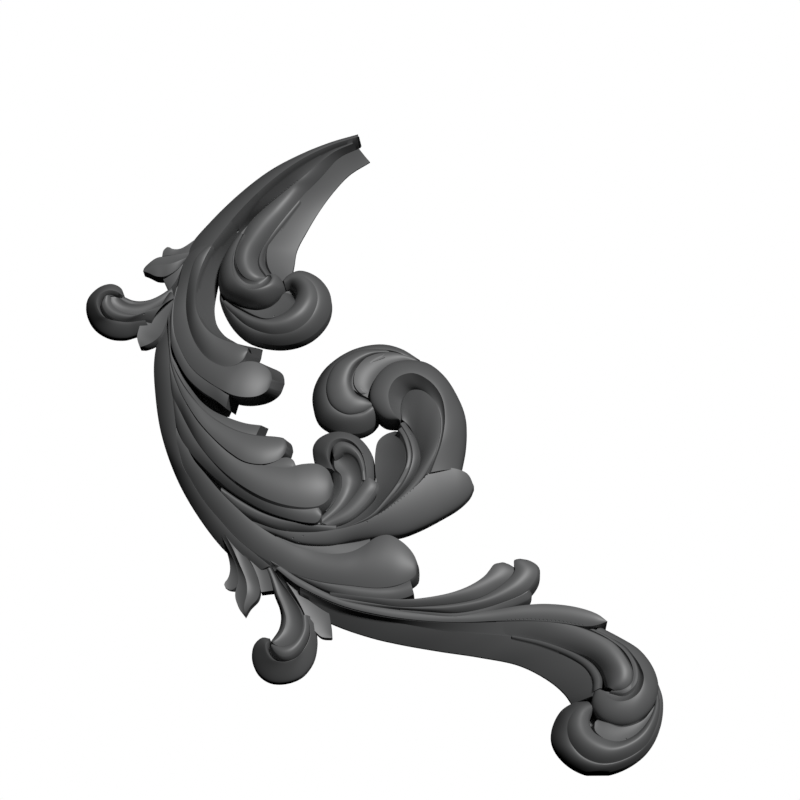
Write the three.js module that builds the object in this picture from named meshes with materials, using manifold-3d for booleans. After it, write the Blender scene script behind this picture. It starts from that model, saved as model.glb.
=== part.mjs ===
// Carved acanthus scroll onlay: one cast piece with a flat back, leaves and volutes in relief.
// Millimetres, +Z up, +X to the right. The back lies on the plane Y = 0 and the relief rises towards -Y.
import * as THREE from "three";
import { mergeVertices } from "three/addons/utils/BufferGeometryUtils.js";
import Module from "manifold-3d";

const wasm = await Module();
wasm.setup();

// Real sizes in millimetres
const ONLAY_HEIGHT = 300;
const RELIEF_DEPTH = 22;
const BACK_STOCK = 2;
const THINNEST_EDGE = 0.4;
const TUCK_WIDTH = 1.1;
const TUCK_DROP = 2.2;

// How finely the forms are cut into flat facets
const LONGEST_STEP = 24;
const TURN_PER_STATION = THREE.MathUtils.degToRad(32);
const TURN_SAMPLES = 40;
const FEWEST_STATIONS = 3;
const NARROW_GAP = 5;
const FLAT_COLUMNS = 1;
const NARROW_COLUMNS = 2;
const WIDE_COLUMNS = 3;

// Distances under which corners count as one
const WELD_DISTANCE = 1e-3;
const POINTED_END = 0.05;
const JOIN_TOLERANCE = 0.08;

// The carving is laid out on a drawing of the onlay, seen from below and a little from the right.
// Each drawn point is [across, down, rise]: its place on the drawing and its rise over the back,
// all in drawing units. LAP is how far a form that shares a rail passes under its neighbour.
const DRAWN_CENTRE = 400;
const DRAWN_DISTANCE = 2200;
const DRAWN_HEIGHT = 669.1;
const DRAWN_RELIEF = 49.7;
const SEEN_FROM_BELOW = THREE.MathUtils.degToRad(21);
const SEEN_FROM_RIGHT = THREE.MathUtils.degToRad(2);
const MOUNT_POINT = [300, 545, 0];
const LAP = 0.5;
const TOE_FROM = 0.6;

const UNIT = ONLAY_HEIGHT / DRAWN_HEIGHT;
const RISE_UNIT = RELIEF_DEPTH / DRAWN_RELIEF;

const sight = new THREE.Vector3(
  -Math.sin(SEEN_FROM_RIGHT) * Math.cos(SEEN_FROM_BELOW),
  Math.cos(SEEN_FROM_RIGHT) * Math.cos(SEEN_FROM_BELOW),
  Math.sin(SEEN_FROM_BELOW),
);
const sightRight = new THREE.Vector3(Math.cos(SEEN_FROM_RIGHT), Math.sin(SEEN_FROM_RIGHT), 0);
const sightUp = new THREE.Vector3().crossVectors(sightRight, sight);

// Follows the line of sight through a drawn point down to its rise over the back.
function onlayPoint([across, down, rise]) {
  const ray = sight.clone().multiplyScalar(DRAWN_DISTANCE);
  ray.addScaledVector(sightRight, across - DRAWN_CENTRE);
  ray.addScaledVector(sightUp, DRAWN_CENTRE - down);
  const reach = (sight.y * DRAWN_DISTANCE - rise) / ray.y;
  const eye = sight.clone().multiplyScalar(-DRAWN_DISTANCE);
  return eye.addScaledVector(ray, reach);
}

const mountPoint = onlayPoint(MOUNT_POINT);

// A drawn point as a place on the real onlay.
function placed(drawn) {
  const point = onlayPoint(drawn);
  const x = (point.x - mountPoint.x) * UNIT;
  const z = (point.z - mountPoint.z) * UNIT;
  return new THREE.Vector3(x, -drawn[2] * RISE_UNIT, z);
}

// Cross sections between two rails, which rise by a share of the width between them. A shoulder rises by a
// share of the drop between its rails: it leaves the higher one level and falls upright on to the lower.
const round = (start, end = start) => ({
  start,
  end,
  lift: (t) => Math.sqrt(Math.max(0, 1 - (2 * t - 1) ** 2)),
});
const swell = (start, end = start) => ({ start, end, lift: (t) => 4 * t * (1 - t) });
const hollow = (start, end = start) => swell(-start, -end);
const shoulder = (start = 1, end = start) => ({
  start,
  end,
  followsDrop: true,
  lift: (t) => Math.sqrt(1 - t ** 2) - (1 - t),
});

const smooth = (t) => t * t * (3 - 2 * t);

// How many stations a rail needs for its length and its bends.
function stationsFor(curve) {
  let turn = 0;
  for (let sample = 1; sample <= TURN_SAMPLES; sample++) {
    const before = curve.getTangentAt((sample - 1) / TURN_SAMPLES);
    turn += before.angleTo(curve.getTangentAt(sample / TURN_SAMPLES));
  }
  return Math.ceil(Math.max(curve.getLength() / LONGEST_STEP, turn / TURN_PER_STATION, FEWEST_STATIONS));
}

// The carved points of one gap between two rails at a station, without its first where one is there.
function carvedPoints(from, to, form, columns, along, skipFirst) {
  const drop = to.y - from.y;
  const span = form.followsDrop ? Math.abs(drop) : Math.hypot(to.x - from.x, to.z - from.z);
  const rise = span * THREE.MathUtils.lerp(form.start, form.end, along);
  const climbs = form.followsDrop && drop < 0;
  const points = [];
  for (let column = skipFirst ? 1 : 0; column <= columns; column++) {
    const across = (1 - Math.cos((Math.PI * column) / columns)) / 2;
    const point = from.clone().lerp(to, across);
    point.y -= rise * form.lift(climbs ? 1 - across : across);
    points.push(point);
  }
  return points;
}

// A row of points with a skirt on each tucked side, which passes down under the neighbour there.
function tuckedRow(row, tuck) {
  const first = row[0];
  const last = row[row.length - 1];
  const side = last.clone().sub(first).setY(0);
  if (side.length() > POINTED_END) {
    side.normalize();
  }
  const down = new THREE.Vector3(0, TUCK_DROP, 0);
  const before = tuck[0] ? [first.clone().addScaledVector(side, -TUCK_WIDTH).add(down)] : [];
  const after = tuck[1] ? [last.clone().addScaledVector(side, TUCK_WIDTH).add(down)] : [];
  return [...before, ...row, ...after];
}

// A closed solid between rails that run side by side, with a carved face and walls to the back.
// tuck names the sides that pass under a neighbour, toe how far the foot spreads at the far end.
function strake(rails, forms, { tuck = [true, true], toe = [0, 0], toeFrom = TOE_FROM } = {}) {
  const curves = rails.map((rail) => new THREE.CatmullRomCurve3(rail.map(placed), false, "centripetal"));
  const stations = Math.max(...curves.map(stationsFor));
  const lines = curves.map((curve) => curve.getSpacedPoints(stations));
  const columns = forms.map((form, gap) => {
    if (form.start === 0 && form.end === 0) {
      return FLAT_COLUMNS;
    }
    const width = Math.max(...lines[gap].map((point, station) => point.distanceTo(lines[gap + 1][station])));
    return width < NARROW_GAP ? NARROW_COLUMNS : WIDE_COLUMNS;
  });
  const face = [];
  const foot = [];
  for (let station = 0; station <= stations; station++) {
    const along = station / stations;
    const carved = forms.flatMap((form, gap) =>
      carvedPoints(lines[gap][station], lines[gap + 1][station], form, columns[gap], along, gap > 0),
    );
    const row = tuckedRow(carved, tuck);
    row.forEach((point) => {
      point.y = Math.min(point.y, -THINNEST_EDGE);
    });
    const reach = UNIT * smooth(THREE.MathUtils.clamp((along - toeFrom) / (1 - toeFrom), 0, 1));
    face.push(row);
    foot.push(
      [row[0], row[row.length - 1]].map(
        (point) => new THREE.Vector3(point.x + toe[0] * reach, BACK_STOCK, point.z - toe[1] * reach),
      ),
    );
  }
  return solidFrom(face, foot);
}

// Closes a carved face with walls, ends and a back into a solid.
function solidFrom(face, foot) {
  const corners = [];
  const quad = (a, b, c, d) => corners.push(a, b, c, a, c, d);
  const last = face.length - 1;
  const edge = face[0].length - 1;
  for (let s = 0; s < last; s++) {
    for (let c = 0; c < edge; c++) {
      quad(face[s][c], face[s + 1][c], face[s + 1][c + 1], face[s][c + 1]);
    }
    quad(foot[s][0], foot[s + 1][0], face[s + 1][0], face[s][0]);
    quad(face[s][edge], face[s + 1][edge], foot[s + 1][1], foot[s][1]);
    quad(foot[s][0], foot[s][1], foot[s + 1][1], foot[s + 1][0]);
  }
  for (const [s, flip] of [[0, true], [last, false]]) {
    const fan = [...face[s], foot[s][1], foot[s][0]];
    for (let c = 1; c < fan.length - 1; c++) {
      corners.push(...(flip ? [fan[0], fan[c], fan[c + 1]] : [fan[0], fan[c + 1], fan[c]]));
    }
  }
  return solidOf(new THREE.BufferGeometry().setFromPoints(corners));
}

// Welds a geometry's corners and hands it over as a solid that faces outwards.
function solidOf(geometry) {
  geometry.deleteAttribute("normal");
  geometry.deleteAttribute("uv");
  const welded = mergeVertices(geometry, WELD_DISTANCE);
  const index = Array.from(welded.index.array);
  const kept = [];
  for (let i = 0; i < index.length; i += 3) {
    const [a, b, c] = index.slice(i, i + 3);
    if (a !== b && b !== c && c !== a) {
      kept.push(a, b, c);
    }
  }
  const place = welded.attributes.position;
  let volume = 0;
  for (let i = 0; i < kept.length; i += 3) {
    const [a, b, c] = [0, 1, 2].map((k) => new THREE.Vector3().fromBufferAttribute(place, kept[i + k]));
    volume += a.dot(b.cross(c));
  }
  if (volume < 0) {
    for (let i = 0; i < kept.length; i += 3) {
      [kept[i], kept[i + 1]] = [kept[i + 1], kept[i]];
    }
  }
  const mesh = new wasm.Mesh({
    numProp: 3,
    vertProperties: new Float32Array(place.array),
    triVerts: new Uint32Array(kept),
    tolerance: JOIN_TOLERANCE,
  });
  return new wasm.Manifold(mesh);
}

// A rail let down a little, so that a form that shares it passes under its neighbour.
const under = (rail) => rail.map(([across, down, rise]) => [across, down, rise - LAP]);

const OPEN = { tuck: [false, false] };
const OPEN_LEFT = { tuck: [false, true] };
const OPEN_RIGHT = { tuck: [true, false] };

// The long crescent from the broken top end down the stem, with the tall side of its ridge, the tube
// and the flat band.
function crescent() {
  const outerEdge = [[358, 134, 20], [330, 142, 30], [300, 154, 34], [270, 170, 29], [240, 193, 22],
    [210, 222, 17], [190, 246, 14], [177, 277, 10], [167, 306, 7], [158, 338, 5], [154, 362, 4],
    [155, 392, 4], [161, 433, 4], [176, 477, 4], [198, 516, 5], [225, 550, 6], [255, 574, 7]];
  const stemSpine = [[357.5, 136.5, 27], [330, 145, 36], [300, 159.5, 43], [270, 181, 43], [240, 210, 40],
    [213, 243, 37], [200, 262, 32], [190, 285, 26], [183, 305, 22], [176, 325, 20], [170, 345, 19],
    [171, 380, 22], [174, 410, 22], [177, 440, 20], [182, 464, 19.5], [190, 479, 19.5], [203, 500, 19.5],
    [218, 518, 20], [235, 537, 21], [255, 554, 22], [269, 566, 22]];
  const firstRidge = [[350, 138.5, 30], [330, 145, 36], [300, 159.5, 43], [270, 181, 43], [250, 199.5, 42],
    [232, 219, 40], [213, 243, 37], [203, 262, 36], [197, 280, 35], [195, 300, 35], [198, 315, 36],
    [206, 328, 38], [216, 336, 40], [228, 341, 42], [240, 344.5, 44], [248, 347, 45]];
  const sideFoot = [[353, 143, 24], [335, 151.5, 27], [320, 162, 27], [300, 179, 25], [285, 191, 20],
    [262, 210, 13], [245, 228, 4], [233, 246, 2], [224, 262, 2], [218, 288, 2], [214.5, 310, 2],
    [217, 325, 3], [224, 335, 6], [234, 341.5, 18], [242, 345.5, 34], [248, 348, 42]];
  const endRidge = [[359, 136, 27], [354, 137.5, 28], [347, 139.5, 30]];
  const endFoot = [[361.5, 146, 1], [355, 148, 1], [348, 150, 1]];
  const tubeRim = [[354.5, 142.5, 23], [335, 151, 27.5], [320, 162, 27.5], [300, 179, 25.5], [285, 191, 20],
    [262, 210, 17], [250, 222, 20], [241, 238, 27], [236, 252, 33], [237, 266, 36], [245, 277, 37],
    [256, 280.5, 36], [266, 277, 33]];
  const tubeCrease = [[356, 149, 11], [340, 157, 15], [320, 178, 15], [300, 199, 14], [283, 219, 15],
    [268, 240, 18], [259, 258, 21], [260, 268, 24], [266, 277, 28]];
  const bandLeft = [[359, 148.5, 13], [340, 157.5, 15], [320, 177, 15], [300, 199, 14.5], [285, 218, 16],
    [272, 238, 18], [267, 250, 19], [268, 266, 21], [276, 280, 23]];
  const bandRight = [[370, 162, 2], [350, 174.5, 2], [335, 190, 2], [320, 210, 2], [307, 231, 3],
    [297, 250, 4], [294, 265, 6], [290, 282, 10]];
  const ribLeft = [[299, 200, 14], [283, 219, 17], [269, 238, 21], [260.5, 252, 25], [259, 264, 28],
    [266, 276, 31]];
  const ribRight = [[301, 202, 13], [287, 220, 15], [273, 238, 18], [264.5, 252, 20], [263, 264, 22],
    [269, 275, 26]];
  return [
    strake([outerEdge, stemSpine], [swell(0.12)], OPEN_LEFT),
    strake([under(firstRidge), under(sideFoot)], [hollow(0.28, 0.05)], OPEN_RIGHT),
    strake([endRidge, endFoot], [swell(0.02)], OPEN),
    strake([tubeRim, tubeCrease], [swell(0.08, 0.36)], OPEN),
    strake([bandLeft, bandRight], [hollow(0.04)], OPEN_RIGHT),
    strake([ribLeft, ribRight], [round(0.4)]),
  ];
}

// The upper volute: the tube that ends in a ball, the tongue under it and two coils.
function upperVolute() {
  const tubeOuter = [[241, 234, 12], [233, 246, 5], [225, 260, 3], [220, 274, 3], [219, 288, 3],
    [223, 298, 8], [236, 305, 13], [252, 309.5, 15], [266, 308.5, 16], [277, 302, 17], [285, 292, 18],
    [282, 281, 22], [276, 275.5, 28], [271, 273.5, 34]];
  const tubeRidge = [[242, 234, 26], [234, 250, 33], [231.5, 266, 38], [236, 280, 41], [247, 288, 43],
    [258, 288, 44], [267, 284, 43], [271.5, 278, 40], [270, 274, 36]];
  const innerRim = [[244, 233, 33], [236, 250, 36], [236, 266, 38], [244, 277, 38], [256, 280.5, 37],
    [267, 276, 34]];
  const tongueTop = [[230, 302, 14], [244, 308, 18], [258, 310, 20], [270, 307, 21], [278, 301, 22],
    [284, 293, 24], [289, 293, 26]];
  const tongueEdge = [[234, 304, 20], [245, 310, 24], [255, 315, 27], [265, 318, 29], [274, 317, 30],
    [283, 313, 31], [290, 307, 30], [294, 301, 29], [292, 295, 28]];
  const coilInner = [[225, 300, 16], [238, 309, 22], [255, 317, 27], [267, 319, 29], [280, 315, 30],
    [290, 308, 29], [296, 299, 26], [297, 290, 22], [291, 284, 18], [285, 286, 16]];
  const coilCrease = [[222, 303, 14], [233, 314, 20], [246, 325, 24], [262, 332, 26], [277, 334, 27],
    [295, 330, 28], [310, 318, 29], [317.5, 300, 29], [314, 285, 28], [303, 276, 27], [292, 276, 24],
    [284, 281, 20]];
  const coilOuter = [[220, 290, 4], [220, 302, 6], [232, 325, 12], [250, 339.5, 14], [278, 345.5, 14],
    [300, 342, 14], [316, 333, 14], [328, 318.5, 13], [331.5, 304, 13], [329, 291, 13], [320, 279, 14],
    [308, 272, 15], [298, 270.5, 16], [288, 275, 17], [283, 280, 18]];
  const eyeLeft = [[280, 276, 8], [278, 312, 8]];
  const eyeRight = [[304, 280, 8], [302, 312, 8]];
  return [
    strake([tubeOuter, tubeRidge], [shoulder()], OPEN_LEFT),
    strake([under(tubeRidge), under(innerRim)], [hollow(0.35)]),
    strake([tongueTop, tongueEdge], [hollow(0.05)]),
    strake([coilInner, coilCrease, coilOuter], [swell(0.3), swell(0.24)], OPEN_RIGHT),
    strake([eyeLeft, eyeRight], [swell(0)], OPEN),
  ];
}

// The sprig of three small leaves that springs from the left of the crescent.
function leftSprig() {
  const topLeft = [[197, 238, 16], [180, 248.5, 15], [172, 248.5, 16], [168, 246.5, 16], [163.5, 250, 15],
    [162, 256, 14]];
  const topRight = [[190, 252, 18], [178, 254, 18], [170, 255, 17], [162, 256, 15]];
  const midRidge = [[187, 257, 20], [172, 263, 21], [158, 265, 19], [150, 266, 17], [143, 271, 14]];
  const midTop = [[190, 252, 18], [178, 254, 18], [166, 256, 17], [157, 257.5, 16], [150, 262, 15],
    [144, 268, 14], [143, 271, 14]];
  const midLow = [[184, 262, 18], [176, 270, 18], [168, 275, 17], [163, 276.5, 16], [156, 276, 16],
    [148, 272.5, 15], [143, 271, 14]];
  const lowLeft = [[166, 273, 14], [163, 277, 12], [165, 283, 11], [168, 289, 10]];
  const lowRight = [[184, 262, 17], [180, 272, 16], [175, 282, 14], [169, 289.5, 11]];
  return [
    strake([topLeft, topRight], [hollow(0.05)], OPEN_LEFT),
    strake([midTop, midRidge, midLow], [hollow(0.06), swell(0.04)], OPEN),
    strake([lowLeft, lowRight], [swell(0.05)], OPEN_LEFT),
  ];
}

// The small scroll on the left, curled under at its end, and the leaf below it.
function leftScroll() {
  const stemTop = [[172, 287, 16], [160, 295, 16], [150, 299.5, 16], [140, 301, 16], [132, 300, 17],
    [124, 296.5, 18]];
  const stemRim = [[172, 290, 20], [160, 298, 20], [150, 302, 20], [140, 304.5, 20], [132, 304.5, 20],
    [125, 302, 21], [120, 298, 22]];
  const stemCrease = [[174, 298, 22], [160, 306, 21], [144, 314, 20], [130, 313.5, 20], [117, 309, 21],
    [111, 302, 22], [111, 295, 23]];
  const innerLow = [[152, 320, 20], [141, 319, 20], [126, 321, 21], [118, 319.5, 22], [110, 316, 23],
    [105, 311, 24], [102, 303, 25], [105, 296, 26]];
  const curlRidge = [[145, 320, 20], [128, 322, 21], [118, 321, 22], [109, 319, 24], [103, 316, 26],
    [98, 308, 28], [97, 300, 29], [101, 294, 30], [109, 290.5, 30], [118, 292, 28], [122, 295, 26]];
  const curlOuter = [[152, 333, 6], [136, 335.5, 6], [125, 338.5, 6], [110, 337.5, 6], [96, 330, 6],
    [88, 319, 6], [86, 306, 7], [89, 297, 8], [100, 287, 10], [112, 284, 12], [121, 288, 14],
    [124, 296, 18]];
  const pocketLeft = [[103, 291, 13], [99, 304, 13], [106, 316, 13], [118, 320, 13]];
  const pocketRight = [[121, 294, 13], [112, 300, 13], [112, 308, 13], [120, 312, 13]];
  const leafLeft = [[168, 301, 20], [150, 311, 18], [144, 315, 18], [139, 328, 16], [137, 337, 14],
    [139, 345, 11], [140, 347, 10]];
  const leafRight = [[174, 299, 20], [170, 310, 19], [161, 334, 15], [153, 341.5, 12], [146, 345, 11],
    [140, 347, 10]];
  return [
    strake([stemTop, stemRim, stemCrease, innerLow], [swell(0.3), hollow(0.12), swell(0.25)], OPEN_LEFT),
    strake([curlRidge, curlOuter], [round(0.2)], OPEN_RIGHT),
    strake([pocketLeft, pocketRight], [swell(0)], OPEN),
    strake([leafLeft, leafRight], [hollow(0.04)], OPEN_LEFT),
  ];
}

// The first group of three lobes, which curl forward below the upper volute.
function upperLobes() {
  const creaseOne = [[211, 243.5, 35.5], [203, 250, 34.5], [196, 258, 33], [189, 280, 28], [186, 305, 24],
    [189, 327, 27], [196, 345, 30], [208, 359, 36], [224, 366, 41], [236, 364, 44], [243, 359, 45.5],
    [247, 352, 46]];
  const ridgeOne = [[212.5, 243.5, 36.5], [204, 260, 35], [197, 280, 35], [195, 300, 35], [198, 315, 36],
    [206, 328, 38], [216, 336, 40], [228, 341, 42], [240, 344.5, 44], [248, 347.5, 45]];
  const lobeTop = [[209, 243.5, 34.5], [202, 250, 33.5], [196, 258, 32], [189, 280, 27], [186, 305, 23.5],
    [189, 327, 27], [196, 345, 32], [208, 359, 39], [224, 366, 45], [234, 365, 46.5], [243, 361.5, 46.5],
    [253, 361, 45.5], [263, 364.5, 43.5], [270, 371, 41.5], [272, 379, 41]];
  const creaseTwo = [[207, 243.5, 33], [196, 248, 27], [186, 258, 22], [178, 285, 20], [174, 305, 19],
    [174, 330, 21], [181, 350, 26], [192, 368, 33], [208, 381, 41], [224, 390.5, 47], [233, 394.5, 47.5],
    [244, 396.5, 47], [257, 395.5, 45], [267, 390, 42.5], [272, 379, 41]];
  const lowTop = [[178, 285, 19.5], [174, 305, 18.5], [174, 330, 20.5], [181, 350, 25.5], [192, 368, 32.3],
    [208, 381, 40], [220, 388.5, 45], [229, 394, 45]];
  const lowEdge = [[172, 300, 16], [170, 325, 18], [171.5, 345, 20.5], [178, 362, 25], [188, 378, 31],
    [202, 391, 36], [216, 400, 39], [226, 408, 39]];
  return [
    strake([ridgeOne, creaseOne], [swell(0.12)], { toe: [11, -15], toeFrom: 0.65 }),
    strake([lobeTop, creaseTwo], [swell(0.1)], { tuck: [true, false], toe: [10, -12], toeFrom: 0.6 }),
    strake([lowTop, lowEdge], [swell(0.08)], { tuck: [true, false], toe: [6, -8] }),
  ];
}

// The second group of lobes, half-way down the crescent.
function middleLobes() {
  const topEdge = [[169, 335, 18], [172, 355, 19], [184, 376, 22], [192, 390, 25], [202, 402, 27],
    [214, 411, 29], [230, 418, 31], [246, 423, 32], [261, 425, 32]];
  const between = [[168.5, 330, 18], [171, 358, 20], [180, 378, 25], [192, 396, 32], [210, 415, 36],
    [230, 428, 38], [246, 434, 38], [256, 435, 37]];
  const noseTop = [[168.5, 330, 18], [171, 358, 20], [180, 380, 27], [192, 398, 35], [210, 416, 40],
    [230, 428, 43], [248, 434, 44], [264, 436, 43.5], [276, 437, 42.5], [284, 439, 42], [287, 446, 42]];
  const crest = [[168, 310, 16], [168.5, 340, 18.5], [171, 365, 22], [179, 388, 29], [185, 400, 34],
    [198, 420, 41], [214, 438, 44], [230, 452, 46], [245, 461, 47], [262, 463.5, 46.5], [277, 460, 44.5],
    [284, 454, 43], [287, 446, 42]];
  return [
    strake([topEdge, under(between)], [swell(0.06)], { tuck: [false, true], toe: [5, -9], toeFrom: 0.8 }),
    strake([noseTop, crest], [swell(0.1)], { tuck: [true, false], toe: [3, -10], toeFrom: 0.75 }),
  ];
}

// The third group, two broad lobes over the inner scroll, and the fillet under them.
function lowerLobes() {
  const smallTop = [[240, 455, 40], [262, 458, 42], [278, 458, 43], [287, 457, 43], [293, 459.5, 43],
    [296, 466, 43]];
  const smallLow = [[236, 466, 39], [262, 474, 42], [280, 475, 43], [290, 474, 43], [296, 469, 43]];
  const broadTop = [[169.5, 350, 18.5], [171, 366, 21.5], [178.5, 388, 28], [185.5, 402, 33.5],
    [196, 418, 38.5], [207, 430, 41], [230, 452, 43.5], [255, 463, 44.5], [275, 466, 44.5], [290, 466, 44],
    [303, 463.5, 43], [317, 463.5, 41], [328, 470, 38.5], [333.5, 484, 37]];
  const broadLow = [[169.5, 362, 19], [170, 378, 20.5], [172, 395, 22], [182, 415, 27], [196, 440, 33],
    [212, 460, 37], [228, 475, 40], [248, 489, 42], [268, 499, 42.5], [288, 505, 42], [308, 507, 40.5],
    [321, 504.5, 39], [329, 498, 38], [333.5, 484, 37]];
  const underTop = [[171, 372, 21], [174.5, 395, 23.5], [182, 415, 27], [196, 440, 32.5], [212, 460, 36],
    [228, 475, 38], [248, 489, 39], [268, 499, 39.5], [288, 505, 39], [305, 506.5, 38], [317, 506, 37],
    [321, 512, 36]];
  const underLow = [[170.5, 375, 20.5], [172.5, 400, 21.5], [176, 423, 21.5], [183, 442, 23],
    [190, 452, 25], [197, 460, 26], [210, 473, 28], [227, 488, 29], [245, 500, 30], [265, 510.5, 31],
    [285, 517.5, 32], [305, 522, 33], [317, 522, 34], [321, 517, 36]];
  const filletTop = [[221, 488, 29], [240, 501, 29], [260, 512, 29], [280, 519, 29], [300, 523, 29],
    [318, 525, 28], [336, 525.5, 27]];
  const filletLow = [[221, 492, 28], [240, 509, 26], [260, 520, 25], [280, 527, 24], [300, 529.5, 24],
    [318, 530, 25], [336, 530, 26]];
  return [
    strake([smallTop, smallLow], [swell(0.08)], OPEN_LEFT),
    strake([broadTop, broadLow], [swell(0.1)], OPEN_LEFT),
    strake([underTop, underLow], [swell(0.14)], OPEN_RIGHT),
    strake([filletTop, filletLow], [swell(0.2)]),
  ];
}

// The inner scroll that curls behind the third group, with the leaf at its right.
function innerScroll() {
  const curlOuter = [[316, 468, 10], [313, 456, 9], [313, 447, 9], [318, 439, 10], [329, 433, 12],
    [342, 431.5, 14], [357, 436.5, 14], [367, 446, 12], [374, 460, 11], [375, 480, 12], [372, 492, 12]];
  const curlRidge = [[332, 469, 22], [327, 455, 26], [330, 444, 28], [339, 438.5, 29], [351, 441, 29],
    [360, 450, 28], [364, 460, 27], [366, 478, 26], [362, 492, 25]];
  const innerTop = [[333, 454, 22], [333, 447, 24], [340, 441.5, 26], [351, 444, 27], [359, 451, 27],
    [364, 462, 26], [366, 480, 25]];
  const innerLow = [[334, 457, 21], [344, 452, 24], [355, 457, 26], [361, 470, 26], [362, 480, 25]];
  const bowlLeft = [[334, 456, 14], [335, 468, 20], [341, 475, 23], [342, 482, 24], [341, 489, 24],
    [336, 499, 24], [330, 508, 23], [318, 520, 22]];
  const bowlRight = [[340, 452, 22], [355, 457, 26], [361, 470, 26], [362, 480, 25], [358, 489, 25],
    [352, 498, 24], [343, 508, 23], [322, 524, 22]];
  const lipLeft = [[331, 470, 12], [333, 480, 12], [332, 490, 12], [326, 500, 12], [318, 508, 12]];
  const lipRight = [[335, 468, 20], [341, 475, 23], [342, 482, 24], [341, 489, 24], [336, 499, 24],
    [326, 511, 22]];
  const leafLeft = [[366, 478, 25], [362, 484, 25], [358, 490, 25], [352, 498, 24], [343, 508, 23],
    [322, 523, 22]];
  const leafRight = [[371, 478, 25], [376, 483, 25], [376, 488, 25], [370, 498, 24], [360, 509.5, 23],
    [348, 519, 22], [330, 526, 21]];
  return [
    strake([curlRidge, curlOuter], [round(0.15)], OPEN_RIGHT),
    strake([innerTop, innerLow], [swell(0.25)]),
    strake([bowlLeft, under(bowlRight)], [hollow(0.25)]),
    strake([under(lipRight), lipLeft], [round(0.1)], OPEN_RIGHT),
    strake([leafLeft, leafRight], [swell(0.15)]),
  ];
}

// The upright leaf between the scrolls and the two ribs on its right.
function uprightLeaf() {
  const leafLeft = [[322, 530, 19], [345, 524, 20], [362, 513, 20], [376, 497, 20], [376, 480, 19],
    [375, 467, 18], [375, 455, 17], [378, 441, 16], [386, 434, 15], [395, 431, 15]];
  const leafRight = [[330, 531, 26], [350, 526, 29], [370, 515, 32], [385, 499, 34], [398, 481, 36],
    [405, 464, 37], [405, 450, 36], [402, 438, 32], [398, 431.5, 26]];
  const ribLeft = [[330, 531, 26], [350, 525, 30], [370, 515, 33], [385, 499, 36], [398, 481, 38],
    [406, 464, 38.5], [407, 453, 38], [403, 438, 35], [398, 430, 31]];
  const ribRight = [[332, 532, 25], [352, 526, 29], [373, 516, 32], [389, 500, 35], [402, 483, 37],
    [410, 466, 37.5], [411.5, 453, 37], [407, 436, 34], [402, 427, 30]];
  const secondLeft = [[355, 525, 29], [375, 515, 32], [387, 502, 35], [402, 484, 37], [410, 467, 38],
    [412, 455, 38], [410, 443, 36], [405, 432, 33], [400, 424, 30]];
  const secondRight = [[360, 526, 27], [383, 509, 30], [399, 493, 33], [412, 475, 35], [418, 458, 35],
    [416, 445, 34], [412, 435, 32], [403, 422, 29]];
  return [
    strake([leafLeft, under(leafRight)], [hollow(0.08)], OPEN_LEFT),
    strake([ribLeft, ribRight], [round(0.3)]),
    strake([secondLeft, secondRight], [round(0.3)]),
  ];
}

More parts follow.
